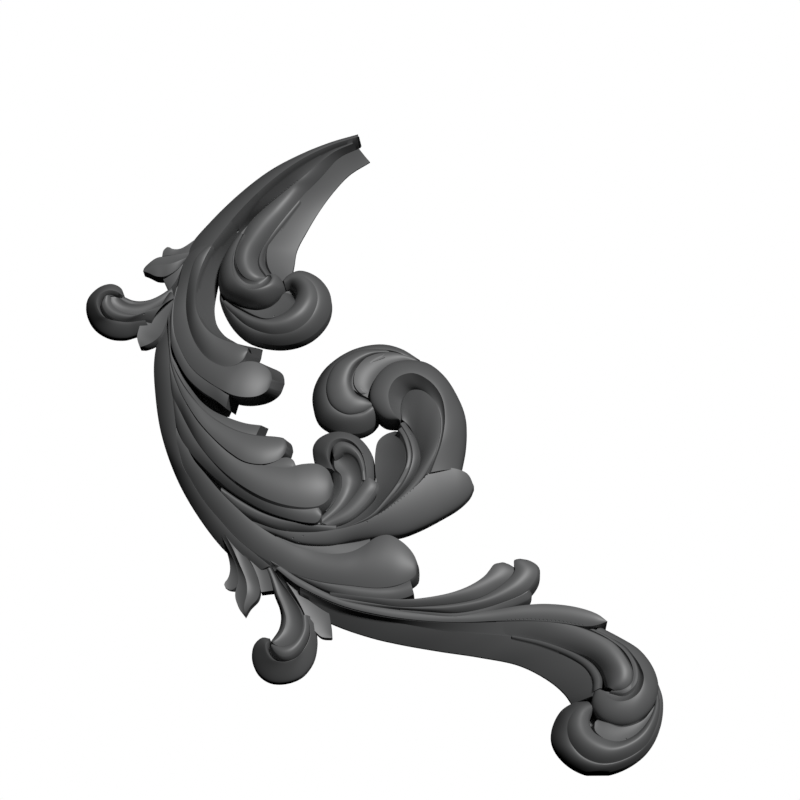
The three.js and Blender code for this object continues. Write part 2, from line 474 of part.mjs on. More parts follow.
// The large middle volute: two coils on the left, the spoon, and the tube that rolls over the cup.
function middleVolute() {
  const coilOuter = [[420, 360, 15], [402, 349, 13], [386, 344.5, 12], [370, 345, 11], [352, 350, 10],
    [336, 359, 10], [323, 371, 10], [314, 388, 11], [312.5, 404, 12], [318, 420.5, 13], [330, 429, 14],
    [345, 433, 15], [360, 433.5, 15], [372, 428, 15], [378, 421, 16]];
  const coilCrease = [[412, 359, 20], [398, 352, 24], [382, 349, 26], [362, 350, 29], [350, 354, 30],
    [333, 367, 31], [326, 388, 31], [331, 405, 31], [346, 414, 31], [362, 412, 31], [375, 405, 30],
    [379, 412, 24]];
  const coilInner = [[390, 352, 27], [372, 354, 32], [355, 365, 34], [349.5, 381, 34], [354, 393, 34],
    [365, 399, 33], [376, 405, 30]];
  const spoonEdge = [[428, 365, 17], [410, 356.5, 22], [390, 351.5, 28], [375, 352.5, 31], [362, 361, 32],
    [355, 372, 32], [354.5, 385, 31], [362, 393.5, 29], [369, 391, 27]];
  const spoonRight = [[430, 368, 17], [410, 362, 24], [393, 365, 27], [381, 374, 28], [374, 386, 28],
    [371, 394, 27]];
  const grooveLeft = [[380, 350, 28], [353, 365, 29], [350, 385, 29], [372, 400, 26]];
  const grooveRight = [[385, 357, 28], [362, 368, 29], [358, 385, 29], [376, 396, 26]];
  const rollOuter = [[461, 472, 12], [466, 445, 12], [466, 420, 12], [459, 400, 12], [445, 378, 13],
    [428, 364.5, 16], [410, 360.5, 26], [392, 363, 30], [379, 373, 32], [371, 388, 32], [370, 400, 31],
    [376, 412, 29], [385, 419.5, 28], [400, 421, 28]];
  const rollRidge = [[431, 472, 34], [442, 440, 41], [445, 415, 43], [441, 395, 43], [429, 380, 43],
    [412, 372.5, 43], [396, 378, 42], [388.5, 392, 41], [391, 408, 38], [400, 420, 32]];
  const cupInner = [[425, 474, 30], [436, 450, 38], [441, 425, 40], [437, 405, 38], [424, 391, 32],
    [411, 390, 24], [403, 398, 19], [400.5, 408, 20], [401, 419, 24]];
  const plumeLeft = [[380, 513, 25], [399, 495, 24], [412, 477, 23], [418, 460, 22], [416, 442, 22],
    [410, 427, 23], [402, 419, 24]];
  const plumeRight = [[386, 513, 26], [408, 494, 28], [425, 474, 32], [436, 450, 38], [441, 425, 39.5],
    [437, 405, 38], [424, 391, 32], [411, 390, 24], [404, 397, 20], [401, 408, 20], [402, 419, 24]];
  return [
    strake([coilCrease, coilOuter], [swell(0.26)], OPEN_RIGHT),
    strake([coilInner, under(coilCrease.slice(2, 11))], [round(0.2)]),
    strake([spoonEdge, spoonRight], [hollow(0.1)], OPEN_LEFT),
    strake([grooveLeft, grooveRight], [swell(0)], OPEN),
    strake([cupInner, rollRidge, rollOuter], [hollow(0.12), shoulder(0.9)], OPEN_RIGHT),
    strake([plumeLeft, plumeRight], [swell(0.08)], OPEN_LEFT),
  ];
}

// The long lobe that reaches out to the right and the two broad lobes below it.
function lowerLeaves() {
  const longTop = [[252, 521, 26], [280, 530, 27], [310, 532, 28], [330, 530, 29], [350, 526, 30],
    [378, 514, 31], [398, 500, 32], [418, 484, 32], [431, 471, 31], [445, 467.5, 29], [458, 469, 26],
    [468, 474, 21], [474, 486, 14]];
  const longLow = [[258, 527, 24], [285, 538, 22], [300, 543, 21], [330, 545, 19], [357, 540, 16],
    [385, 537, 13], [402, 535, 11], [420, 528.5, 10], [440, 518.5, 9], [459, 507, 9], [470, 496, 10],
    [474, 486, 14]];
  const stripTop = [[275, 535, 21], [300, 543, 19], [330, 545, 18], [357, 542, 17], [370, 539, 17]];
  const stripLow = [[280, 541, 19], [305, 551, 17], [335, 555, 17], [352, 552, 17], [370, 545, 17]];
  const broadTop = [[173.5, 405, 20.5], [176, 425, 19], [186, 445, 24], [194, 460, 27], [203, 471, 29],
    [220, 491, 30], [236, 507, 30], [252, 521, 30], [275, 536, 30], [295, 546, 31], [315, 551.5, 31],
    [335, 553.5, 32], [352, 551, 33], [364, 545, 33], [376, 537, 33], [388, 534.5, 33], [400, 540, 33],
    [410, 549, 32], [416, 559, 31], [417, 568, 30]];
  const broadLow = [[173, 407, 20], [174, 435, 18.5], [183, 464, 19], [190, 478, 19], [203, 499, 19],
    [218, 517, 19.5], [235, 536, 20], [260, 556, 22], [290, 572, 25], [320, 581, 27], [350, 585, 28],
    [378, 587.5, 29], [396, 585, 30], [410, 579.5, 30], [416, 574, 30], [417, 568, 30]];
  const foldTop = [[270, 560, 24], [300, 575, 25], [330, 582.5, 26], [350, 585.5, 27], [378, 588, 28],
    [396, 585.5, 28], [410, 579.5, 29]];
  const foldLow = [[275, 566, 22], [302, 580, 22], [328, 591, 22], [350, 597.5, 23], [375, 601, 24],
    [396, 599.5, 25], [407, 597, 26], [414, 594, 27]];
  return [
    strake([longTop, longLow], [shoulder(0.7)], OPEN),
    strake([under(stripTop), stripLow], [swell(0.03)]),
    strake([broadTop, broadLow], [swell(0.12)], { tuck: [false, true], toe: [2, -2], toeFrom: 0.7 }),
    strake([foldTop, foldLow], [swell(0.2)], OPEN_RIGHT),
  ];
}

// The sprig of three leaves that hangs from the bottom of the crescent.
function bottomSprig() {
  const outerLeft = [[212, 520, 12], [218, 531, 9], [225, 547, 6], [229, 560, 5], [230, 570, 5],
    [228, 578, 5], [224, 584, 5], [226, 588, 5], [230, 590, 5]];
  const outerRight = [[213, 520, 14], [222, 537, 14], [230, 552, 12], [236, 565, 10], [238, 578, 8],
    [237, 586, 7], [232, 590, 6]];
  const midLeft = [[214, 521, 14], [222, 537, 13], [230, 552, 11.5], [236, 565, 9.5], [238, 580, 8],
    [235, 595, 7], [238, 606, 7], [245, 616, 7]];
  const midRidge = [[220, 526, 17], [232, 547, 17], [240, 565, 15], [246, 580, 13], [247, 592, 12],
    [244, 606, 9], [245, 616, 8]];
  const midRight = [[225, 532, 15], [235, 543, 16], [250, 562, 16], [257, 575, 15], [260, 588, 13],
    [258, 598, 12], [250, 607, 11], [245, 616, 10]];
  const innerLeft = [[228, 532, 16], [243, 550, 16], [252, 564, 16], [258, 578, 15], [261, 592, 13]];
  const innerRight = [[240, 543, 18], [255, 555, 18], [265, 566, 17], [271, 578, 16], [275, 590, 14]];
  return [
    strake([outerLeft, outerRight], [hollow(0.08)], OPEN_LEFT),
    strake([midLeft, midRidge, midRight], [hollow(0.08), hollow(0.08)], OPEN),
    strake([innerLeft, innerRight], [hollow(0.05)], OPEN),
  ];
}

// The scroll that hangs below the crescent and the pointed leaf beside it.
function bottomScroll() {
  const stemLeft = [[260, 558, 16], [268, 575, 14], [274, 594, 12], [279, 607, 11], [281, 618, 11],
    [279, 629, 13], [274, 637, 17], [271, 641, 20]];
  const stemRim = [[264, 558, 18], [272, 575, 18], [278, 594, 18], [283, 607, 19], [286, 618, 20],
    [284, 629, 22], [279, 637, 23], [273, 642, 24]];
  const stemRight = [[270, 563, 20], [280, 580, 21], [290, 594, 22], [300, 610, 24], [303, 622, 25],
    [301, 633, 26], [293, 642.5, 27], [284, 646, 27], [277, 645.5, 26], [273, 643, 25]];
  const innerTop = [[303, 615, 24], [303, 626, 25], [301, 633, 26], [293, 642.5, 27], [284, 646, 27],
    [277, 645.5, 26], [272, 644, 24]];
  const innerLow = [[307, 615, 22], [308, 628, 23], [306, 636, 24], [300, 648, 25], [290, 656, 26],
    [281, 656.5, 26], [274, 651, 25], [271, 645, 24]];
  const curlRidge = [[308, 616, 20], [310, 634, 21], [305, 647, 24], [297, 657, 27], [285, 661.5, 29],
    [275, 660, 30], [268, 653, 30], [266, 645, 29], [269, 640, 26]];
  const curlOuter = [[316, 626, 8], [317, 645, 7], [313, 662, 7], [302, 676, 7], [286, 682.5, 7],
    [270, 682, 7], [258, 674, 7], [252, 660, 8], [254, 645, 10], [262, 637.5, 14], [270, 638.5, 18]];
  const pocketLeft = [[268, 642, 14], [269, 654, 14], [283, 661, 14], [300, 655, 14]];
  const pocketRight = [[276, 642, 14], [278, 650, 14], [285, 655, 14], [296, 650, 14]];
  const leafLeft = [[271, 562, 20], [285, 580, 20], [295, 595, 18], [303, 610, 16], [308, 622, 14],
    [315, 631, 12], [322, 637, 10], [331, 638, 9]];
  const leafRight = [[282, 566, 21], [297, 580, 20], [312, 594, 18], [323, 602, 16], [328, 610, 14],
    [331, 625, 11], [332, 637, 9]];
  return [
    strake([stemLeft, stemRim, stemRight], [swell(0.3), hollow(0.12)], OPEN_LEFT),
    strake([under(innerTop), innerLow], [swell(0.25)]),
    strake([curlRidge, curlOuter], [round(0.15)], OPEN_RIGHT),
    strake([pocketLeft, pocketRight], [swell(0)], OPEN),
    strake([leafLeft, leafRight], [hollow(0.05)], OPEN),
  ];
}

// The arm that runs out to the right along the bottom, with three lobes and a pointed leaf.
function lowerArm() {
  const bandTop = [[270, 560, 22], [300, 588, 22], [330, 604, 22], [360, 614, 22], [400, 623, 22],
    [440, 630, 22], [480, 633.5, 22], [515, 637, 22], [545, 645, 23], [575, 658, 25], [590, 671, 27],
    [596, 684, 28], [592, 696, 27]];
  const bandLow = [[258, 572, 8], [290, 600, 6], [331, 623, 5], [370, 637, 4], [400, 644, 4], [440, 651, 4],
    [480, 657, 4], [520, 665.5, 4], [550, 681, 5], [565, 694, 6], [572, 704, 7]];
  const topUpper = [[330, 592, 30], [370, 597, 34], [400, 599, 37], [419, 598, 38], [450, 592.5, 39],
    [470, 585, 39], [484, 576, 38], [490, 569, 37], [494, 564, 36], [502, 562, 35]];
  const topLower = [[330, 596, 28], [370, 602, 31], [400, 606, 33], [435, 605, 34], [460, 602, 34],
    [480, 597, 34], [497, 588, 34], [509, 578, 34], [514, 570, 33], [511, 565, 33], [503, 562, 34]];
  const midUpper = [[330, 596, 28], [370, 602.5, 31], [400, 606.5, 33], [435, 605.5, 35], [460, 602.5, 36],
    [480, 597.5, 36], [497, 588.5, 36], [509, 578.5, 35], [515, 570, 34], [514, 560, 33], [519, 558.5, 32]];
  const midLower = [[330, 600, 27], [370, 606, 29], [400, 609, 31], [430, 611, 32], [455, 612, 32],
    [480, 608.5, 32], [503, 601.5, 32], [522, 593.5, 31], [531, 586, 31], [537, 576, 31], [537, 567, 31],
    [530, 560.5, 31], [521, 558.5, 32]];
  const lowUpper = [[400, 609, 30], [430, 612, 31], [455, 613, 31], [480, 609, 31], [503, 602, 31],
    [522, 594, 30], [529, 589.5, 29]];
  const lowLower = [[400, 612, 29], [430, 616, 29], [455, 618, 29], [480, 616, 28], [503, 609.5, 27],
    [518, 605, 25], [530, 599, 23], [532, 594, 22]];
  const leafUpper = [[280, 566, 26], [300, 579, 27], [340, 598, 28], [380, 606.5, 29], [420, 611, 29],
    [460, 613.5, 30], [490, 610.5, 31], [519, 605.5, 33], [545, 603.5, 34], [575, 606.5, 35],
    [597, 613.5, 35], [607.5, 621, 34]];
  const leafLower = [[276, 568, 26], [298, 585, 27], [340, 604.5, 28], [380, 614.5, 29], [420, 620, 29],
    [460, 622, 29], [500, 620.5, 30], [535, 620.5, 31], [560, 622.5, 32], [587, 626, 33], [598, 624.5, 34],
    [607.5, 621, 34]];
  const slopeTop = [[300, 588, 26], [340, 606, 28], [380, 616, 29], [420, 621, 29], [460, 623, 29],
    [500, 622, 29], [520, 622, 29]];
  const slopeLow = [[300, 592, 22], [340, 610, 21], [380, 620, 21], [420, 627, 21], [460, 632, 21],
    [500, 635.5, 21], [520, 638, 21]];
  return [
    strake([bandTop, bandLow], [swell(0.03)], OPEN_RIGHT),
    strake([topUpper, under(topLower)], [swell(0.1)], OPEN_LEFT),
    strake([midUpper, midLower], [swell(0.15)], { tuck: [false, true], toe: [1, -3], toeFrom: 0.8 }),
    strake([lowUpper, lowLower], [round(0.2)], OPEN_RIGHT),
    strake([leafUpper, leafLower], [swell(0.12)], OPEN),
    strake([slopeTop, slopeLow], [hollow(0.1, 0)]),
  ];
}

// The volute at the end of the lower arm.
function lowerVolute() {
  const tubeUpper = [[496, 621.5, 28.5], [530, 621, 32], [550, 622, 34], [575, 626, 36], [597, 634, 38],
    [613, 643, 39], [625, 657, 40], [631, 670, 40], [630, 682, 39], [623, 688.5, 38], [614, 690, 36]];
  const tubeLower = [[496, 635.2, 20.5], [512, 636.3, 21.3], [530, 638, 22], [545, 642, 23], [575, 652, 25],
    [592, 659, 28], [602, 669, 30], [606, 679, 32], [608, 687, 34]];
  const rimInner = [[585, 627, 25], [608, 639, 30], [624, 652, 33], [632, 668, 35], [631, 682, 36],
    [622, 689, 36], [612, 690, 34]];
  const rimOuter = [[588, 626, 24], [612, 638, 29], [629, 652, 32], [638, 668, 34], [637, 684, 35],
    [625, 694, 35], [610, 692, 33]];
  const lipTop = [[512, 636, 23.5], [540, 641, 25], [575, 654, 28], [592, 665, 30], [600, 678, 31],
    [600, 688, 31]];
  const lipLow = [[512, 638, 22], [540, 645, 23], [570, 657, 25], [586, 668, 27], [593, 680, 28],
    [593, 692, 28]];
  const rollRidge = [[596, 630, 24], [624, 645, 30], [634, 656, 34], [641, 667, 37], [644, 678, 39],
    [640, 691, 40], [630, 699, 40], [618, 701, 39], [608, 697, 36], [600, 689, 31]];
  const rollOuter = [[600, 627, 18], [620, 638, 14], [640, 651, 12], [653, 668, 12], [658.5, 686, 14],
    [656, 700, 19], [648, 713, 22], [632, 724, 24], [614, 725, 24], [599, 718, 24], [591, 704, 23],
    [594, 692, 26]];
  const grooveInner = [[594, 632, 22], [613, 643, 30], [628, 656, 31], [636, 670, 32], [634, 686, 32],
    [622, 693, 32], [606, 691, 31]];
  const tongueTop = [[654, 706, 25], [643, 720, 28], [622, 727, 29], [608, 723, 28], [597, 720, 26]];
  const tongueEdge = [[659, 700, 22], [651, 718, 28], [636, 734, 30], [620, 741, 31], [604, 738, 31],
    [595, 730, 29], [595, 722, 27]];
  const coilInner = [[655, 682, 13], [656, 700, 22], [650, 718, 29], [636, 734, 31], [620, 741, 32],
    [604, 738, 32], [592, 730, 30], [588, 720, 28], [591, 711, 25], [596, 707, 22]];
  const coilCrease = [[656, 681, 12], [660, 704, 18], [657, 724, 22], [645, 746, 26], [622, 760, 28],
    [600, 763, 29], [581, 755, 29], [569, 739, 29], [568, 722, 29], [577, 708, 28], [587, 703.5, 25],
    [595, 705, 22]];
  const coilOuter = [[656.5, 679, 11], [663, 700, 11], [660, 729, 12], [648, 750.5, 14], [630, 764.5, 16],
    [608, 772.5, 17], [588, 772.5, 17], [568, 763, 16], [554, 747.5, 13], [551, 733, 10], [560, 712, 9],
    [573, 703, 10], [583, 701, 12], [591, 702, 16], [596, 706, 20]];
  const eyeLeft = [[586, 700, 10], [586, 735, 10]];
  const eyeRight = [[604, 700, 10], [602, 735, 10]];
  return [
    strake([tubeUpper, tubeLower], [swell(0, 0.28)]),
    strake([rimInner, rimOuter], [round(0.3)]),
    strake([lipTop, lipLow], [round(0.3)]),
    strake([grooveInner, rollRidge, rollOuter], [hollow(0.2), shoulder(0.9)], OPEN_RIGHT),
    strake([tongueTop, tongueEdge], [hollow(0.06)]),
    strake([coilInner, coilCrease, coilOuter], [swell(0.3), swell(0.22)], OPEN_RIGHT),
    strake([eyeLeft, eyeRight], [swell(0)], OPEN),
  ];
}

// The low bed that joins the forms behind the carving.
function bed() {
  const behindLeaves = [
    [[180, 290, 9], [170, 330, 9], [162, 380, 9], [170, 440, 9], [190, 490, 9], [225, 540, 9],
      [270, 572, 9], [330, 600, 9]],
    [[205, 300, 9], [208, 340, 9], [212, 390, 9], [240, 440, 9], [290, 480, 9], [325, 510, 9],
      [350, 535, 9], [370, 580, 9]],
  ];
  const behindCrescent = [
    [[346, 152, 3], [320, 163, 3], [290, 182, 3], [260, 206, 3], [238, 232, 3], [228, 256, 3]],
    [[350, 160, 3], [325, 180, 3], [300, 206, 3], [280, 232, 3], [272, 252, 3], [270, 280, 3]],
  ];
  const behindUpperVolute = [
    [[226, 286, 3], [245, 282, 3], [268, 276, 3], [296, 280, 3]],
    [[230, 318, 3], [250, 328, 3], [278, 330, 3], [306, 312, 3]],
  ];
  const behindLeftScroll = [
    [[98, 300, 3], [112, 298, 3], [126, 302, 3], [150, 306, 3], [174, 296, 3]],
    [[104, 326, 3], [118, 328, 3], [132, 328, 3], [150, 326, 3], [174, 318, 3]],
  ];
  const behindThirdLobe = [
    [[176, 350, 3], [196, 372, 3], [222, 388, 3], [240, 392, 3]],
    [[176, 380, 3], [196, 404, 3], [218, 416, 3], [229, 416, 3]],
  ];
  const behindInnerScroll = [
    [[326, 446, 3], [325, 470, 3], [326, 500, 3], [325, 530, 3]],
    [[345, 446, 3], [352, 470, 3], [368, 500, 3], [395, 522, 3]],
  ];
  const behindMiddleVolute = [
    [[345, 385, 3], [375, 360, 3], [400, 352, 3]],
    [[352, 416, 3], [382, 412, 3], [410, 372, 3]],
  ];
  const behindRibs = [
    [[396, 440, 3], [398, 470, 3], [390, 505, 3]],
    [[428, 440, 3], [426, 470, 3], [425, 505, 3]],
  ];
  const behindBottomScroll = [
    [[256, 562, 3], [275, 590, 3], [282, 615, 3], [278, 640, 3], [268, 658, 3]],
    [[275, 566, 3], [310, 595, 3], [312, 620, 3], [306, 645, 3], [292, 668, 3]],
  ];
  const behindArmRoot = [
    [[320, 588, 3], [350, 550, 3], [370, 550, 3]],
    [[325, 612, 3], [350, 612, 3], [378, 612, 3]],
  ];
  const behindLowerVolute = [
    [[560, 628, 3], [600, 634, 3], [634, 660, 3], [656, 700, 3]],
    [[570, 652, 3], [584, 680, 3], [590, 712, 3], [640, 740, 3]],
  ];
  const pieces = [behindLeaves, behindCrescent, behindUpperVolute, behindLeftScroll, behindThirdLobe,
    behindInnerScroll, behindMiddleVolute, behindRibs, behindBottomScroll, behindArmRoot,
    behindLowerVolute];
  return pieces.map((sides) => strake(sides, [swell(0)], OPEN));
}

const carving = [crescent, upperVolute, leftSprig, leftScroll, upperLobes, middleLobes, lowerLobes,
  innerScroll, uprightLeaf, middleVolute, lowerLeaves, bottomSprig, bottomScroll, lowerArm, lowerVolute,
  bed].flatMap((form) => form());

// The forms joined into one, with everything behind the flat back planed off.
const joined = carving.reduce((whole, piece) => whole.add(piece));
const planedSpan = 2 * ONLAY_HEIGHT;
const planedDepth = 2 * BACK_STOCK;
const planed = new THREE.BoxGeometry(planedSpan, planedDepth, planedSpan);
planed.translate(0, planedDepth / 2, 0);
const flatBacked = joined.subtract(solidOf(planed));

// The outer skin of a solid, so that pockets shut in between the forms are filled, as in a casting.
function outerSkin({ vertProperties, triVerts }) {
  const parent = Array.from({ length: vertProperties.length / 3 }, (_, corner) => corner);
  const root = (corner) => {
    while (parent[corner] !== corner) {
      parent[corner] = parent[parent[corner]];
      corner = parent[corner];
    }
    return corner;
  };
  for (let i = 0; i < triVerts.length; i += 3) {
    parent[root(triVerts[i + 1])] = root(triVerts[i]);
    parent[root(triVerts[i + 2])] = root(triVerts[i]);
  }
  const skins = new Map();
  for (let i = 0; i < triVerts.length; i += 3) {
    const skin = root(triVerts[i]);
    skins.set(skin, [...(skins.get(skin) ?? []), triVerts[i], triVerts[i + 1], triVerts[i + 2]]);
  }
  const largest = [...skins.values()].reduce((most, skin) => (skin.length > most.length ? skin : most));
  const geometry = new THREE.BufferGeometry();
  geometry.setAttribute("position", new THREE.BufferAttribute(vertProperties, 3));
  geometry.setIndex(largest);
  geometry.computeVertexNormals();
  return geometry;
}

const onlayGeometry = outerSkin(flatBacked.getMesh());

const charcoalResin = new THREE.MeshStandardMaterial({ color: 0x4a4b4c, roughness: 0.55, metalness: 0 });
const scrollOnlay = new THREE.Mesh(onlayGeometry, charcoalResin);
scrollOnlay.name = "acanthus_scroll";

const onlay = new THREE.Group();
onlay.add(scrollOnlay);

export default onlay;
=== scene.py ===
"""Carved acanthus scroll onlay in charcoal resin, with its studio.

Metres, +Z up, +X to the right. The flat back lies on the plane Y = 0 and the relief rises towards -Y.
"""

import logging
import math
from dataclasses import dataclass, fields
from enum import Enum
from typing import ClassVar

import bpy
import numpy as np
from mathutils import Matrix, Vector
from mathutils.bvhtree import BVHTree


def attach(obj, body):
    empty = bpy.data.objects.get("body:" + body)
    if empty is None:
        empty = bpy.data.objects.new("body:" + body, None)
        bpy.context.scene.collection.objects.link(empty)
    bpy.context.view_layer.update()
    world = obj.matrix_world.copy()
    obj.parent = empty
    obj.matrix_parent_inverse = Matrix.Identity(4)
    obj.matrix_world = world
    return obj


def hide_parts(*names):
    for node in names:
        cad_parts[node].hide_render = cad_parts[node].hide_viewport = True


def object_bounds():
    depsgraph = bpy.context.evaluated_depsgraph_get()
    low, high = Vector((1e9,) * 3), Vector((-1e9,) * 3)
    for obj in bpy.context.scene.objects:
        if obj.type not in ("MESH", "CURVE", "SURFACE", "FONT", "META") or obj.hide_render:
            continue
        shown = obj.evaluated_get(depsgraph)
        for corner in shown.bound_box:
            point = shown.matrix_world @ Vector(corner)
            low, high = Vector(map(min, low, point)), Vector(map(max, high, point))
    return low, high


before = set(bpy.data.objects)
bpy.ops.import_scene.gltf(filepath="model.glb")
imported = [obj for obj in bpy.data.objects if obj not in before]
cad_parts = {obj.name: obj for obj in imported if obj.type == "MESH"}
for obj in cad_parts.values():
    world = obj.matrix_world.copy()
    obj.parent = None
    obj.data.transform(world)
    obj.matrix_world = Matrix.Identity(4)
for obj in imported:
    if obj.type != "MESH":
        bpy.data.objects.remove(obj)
CAD_LOW, CAD_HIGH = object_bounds()

LOG = logging.getLogger("onlay")
MILLIMETRE = 0.001

Point = tuple[float, float, float]
Rail = tuple[Point, ...]
Line = tuple[tuple[float, float], ...]
Spot = tuple[float, float, float]
Colour = tuple[float, float, float]


@dataclass(frozen=True)
class Drawing:
    """The drawing that the carving is laid out on, seen from below and a little from the right.

    A drawn point is (across, down, rise): its place on the drawing and its rise over the back.
    """

    centre: float = 400.0
    distance: float = 2200.0
    height: float = 669.1
    relief: float = 50.5
    from_below: float = math.radians(21.0)
    from_right: float = math.radians(2.0)
    mount_point: Point = (300.0, 545.0, 0.0)
    onlay_height: float = 300.0 * MILLIMETRE
    relief_depth: float = 22.0 * MILLIMETRE

    @property
    def unit(self) -> float:
        """Returns the length of one drawing unit in metres."""
        return self.onlay_height / self.height

    @property
    def sight(self) -> np.ndarray:
        """Works out where the drawing's viewer looks.

        Returns:
            The direction, one unit long.
        """
        flat = math.cos(self.from_below)
        across = -math.sin(self.from_right) * flat
        ahead = math.cos(self.from_right) * flat
        return np.array([across, ahead, math.sin(self.from_below)])

    @property
    def right(self) -> np.ndarray:
        """Returns the viewer's right."""
        return np.array([math.cos(self.from_right), math.sin(self.from_right), 0.0])

    @property
    def up(self) -> np.ndarray:
        """Returns the viewer's up."""
        return np.cross(self.right, self.sight)

    def _on_onlay(self, drawn: np.ndarray) -> np.ndarray:
        """Follows the lines of sight through drawn points down to their rise over the back.

        Args:
            drawn: Drawn points, one a row.

        Returns:
            Their places in drawing units, measured from the point that the viewer looks at.
        """
        rays = self.sight * self.distance
        rays = rays + np.outer(drawn[:, 0] - self.centre, self.right)
        rays = rays + np.outer(self.centre - drawn[:, 1], self.up)
        reach = (self.sight[1] * self.distance - drawn[:, 2]) / rays[:, 1]
        return rays * reach[:, None] - self.sight * self.distance

    def placed(self, drawn: Rail) -> np.ndarray:
        """Places drawn points on the real onlay.

        Args:
            drawn: The drawn points.

        Returns:
            Their places in metres, one a row.
        """
        points = np.array(drawn, dtype=float)
        mount = self._on_onlay(np.array([self.mount_point]))
        places = (self._on_onlay(points) - mount) * self.unit
        places[:, 1] = -points[:, 2] * self.relief_depth / self.relief
        return places

    def sight_line(self, across: float, down: float) -> np.ndarray:
        """Works out how the viewer looks at a drawn place.

        Args:
            across: The place across the drawing.
            down: The place down the drawing.

        Returns:
            The direction, one unit long.
        """
        ray = self.sight * self.distance
        ray = ray + self.right * (across - self.centre) + self.up * (self.centre - down)
        return ray / np.linalg.norm(ray)

    def eye(self) -> Vector:
        """Returns the viewer's eye in metres."""
        mount = self._on_onlay(np.array([self.mount_point]))[0]
        return Vector((-self.sight * self.distance - mount) * self.unit)


class Section(Enum):
    """How a form rises across its width."""

    ROUND = "round"
    SWELL = "swell"
    SHOULDER = "shoulder"

    def lift(self, across: np.ndarray) -> np.ndarray:
        """Gives the rise across the width.

        Args:
            across: Places across the form, from 0 at one rail to 1 at the other.

        Returns:
            The rise at each, as a share of the form's full rise. A shoulder leaves its first rail
            level and drops upright on to its second.
        """
        if self is Section.SHOULDER:
            return np.sqrt(np.clip(1.0 - across**2, 0.0, 1.0)) - (1.0 - across)
        body = np.clip(1.0 - (2.0 * across - 1.0) ** 2, 0.0, 1.0)
        return body if self is Section.SWELL else np.sqrt(body)


@dataclass(frozen=True)
class Form:
    """The section between two rails, with its rise as a share of its width.

    A shoulder's rise is a share of the drop between its rails instead.
    """

    section: Section
    start: float
    end: float

    def rise(
        self, along: np.ndarray, across: np.ndarray, widths: np.ndarray, drops: np.ndarray
    ) -> np.ndarray:
        """Works out how far the form stands over the straight line between its rails.

        Args:
            along: Places along the rails, from 0 to 1.
            across: Places across the form, from 0 to 1.
            widths: The width between the rails at each place along them.
            drops: How far the second rail lies below the first at each place along them.

        Returns:
            The rise by place along and place across.
        """
        share = self.start + (self.end - self.start) * along
        if self.section is Section.SHOULDER:
            falling = self.section.lift(across)[None]
            climbing = self.section.lift(1.0 - across)[None]
            full = np.where(drops[:, None] > 0.0, falling, climbing)
            return (share * np.abs(drops))[:, None] * full
        return (share * widths)[:, None] * self.section.lift(across)[None]


def rounded(start: float, end: float | None = None) -> Form:
    """Returns a half-round form."""
    return Form(Section.ROUND, start, start if end is None else end)


def swell(start: float, end: float | None = None) -> Form:
    """Returns a gently swelling form."""
    return Form(Section.SWELL, start, start if end is None else end)


def shoulder(share: float = 1.0) -> Form:
    """Returns a form that rolls over from its higher rail down to its lower one."""
    return Form(Section.SHOULDER, share, share)


def hollow(start: float, end: float | None = None) -> Form:
    """Returns a dished form."""
    return swell(-start, None if end is None else -end)


class Tuck(Enum):
    """Which sides of a form pass down under a neighbour."""

    NONE = (False, False)
    LEFT = (True, False)
    RIGHT = (False, True)
    BOTH = (True, True)


LAP = 0.5


def under(rail: Rail) -> Rail:
    """Returns a rail let down a little, so that a form that shares it passes under its neighbour."""
    return tuple((across, down, rise - LAP) for across, down, rise in rail)


@dataclass(frozen=True)
class Cut:
    """How finely the forms are cut."""

    station_step: float = 1.3 * MILLIMETRE
    column_step: float = 0.9 * MILLIMETRE
    fewest_stations: int = 6
    fewest_columns: int = 4
    most_columns: int = 18
    span_samples: int = 24
    weld: float = 0.001 * MILLIMETRE
    pointed_end: float = 0.05 * MILLIMETRE


def flowing_line(points: np.ndarray, stations: int, samples: int) -> np.ndarray:
    """Runs a smooth curve through points and divides it evenly along its length.

    Args:
        points: The points, one a row.
        stations: How many equal steps the line is divided into.
        samples: How many samples are taken between two points.

    Returns:
        The places at the ends of the steps, one a row.
    """
    before = 2.0 * points[0] - points[1]
    after = 2.0 * points[-1] - points[-2]
    ringed = np.vstack([before, points, after])
    knots = np.sqrt(np.linalg.norm(np.diff(ringed, axis=0), axis=1))
    t = np.linspace(0.0, 1.0, samples, endpoint=False)[:, None]
    spans = []
    for index in range(len(points) - 1):
        p0, p1, p2, p3 = ringed[index : index + 4]
        d0, d1, d2 = knots[index : index + 3]
        leave = ((p1 - p0) / d0 - (p2 - p0) / (d0 + d1) + (p2 - p1) / d1) * d1
        arrive = ((p2 - p1) / d1 - (p3 - p1) / (d1 + d2) + (p3 - p2) / d2) * d1
        cubic = 2.0 * p1 - 2.0 * p2 + leave + arrive
        square = -3.0 * p1 + 3.0 * p2 - 2.0 * leave - arrive
        spans.append(((cubic * t + square) * t + leave) * t + p1)
    fine = np.vstack([*spans, points[-1:]])
    travelled = np.concatenate([[0.0], np.cumsum(np.linalg.norm(np.diff(fine, axis=0), axis=1))])
    stops = np.linspace(0.0, travelled[-1], stations + 1)
    return np.column_stack([np.interp(stops, travelled, fine[:, axis]) for axis in range(3)])


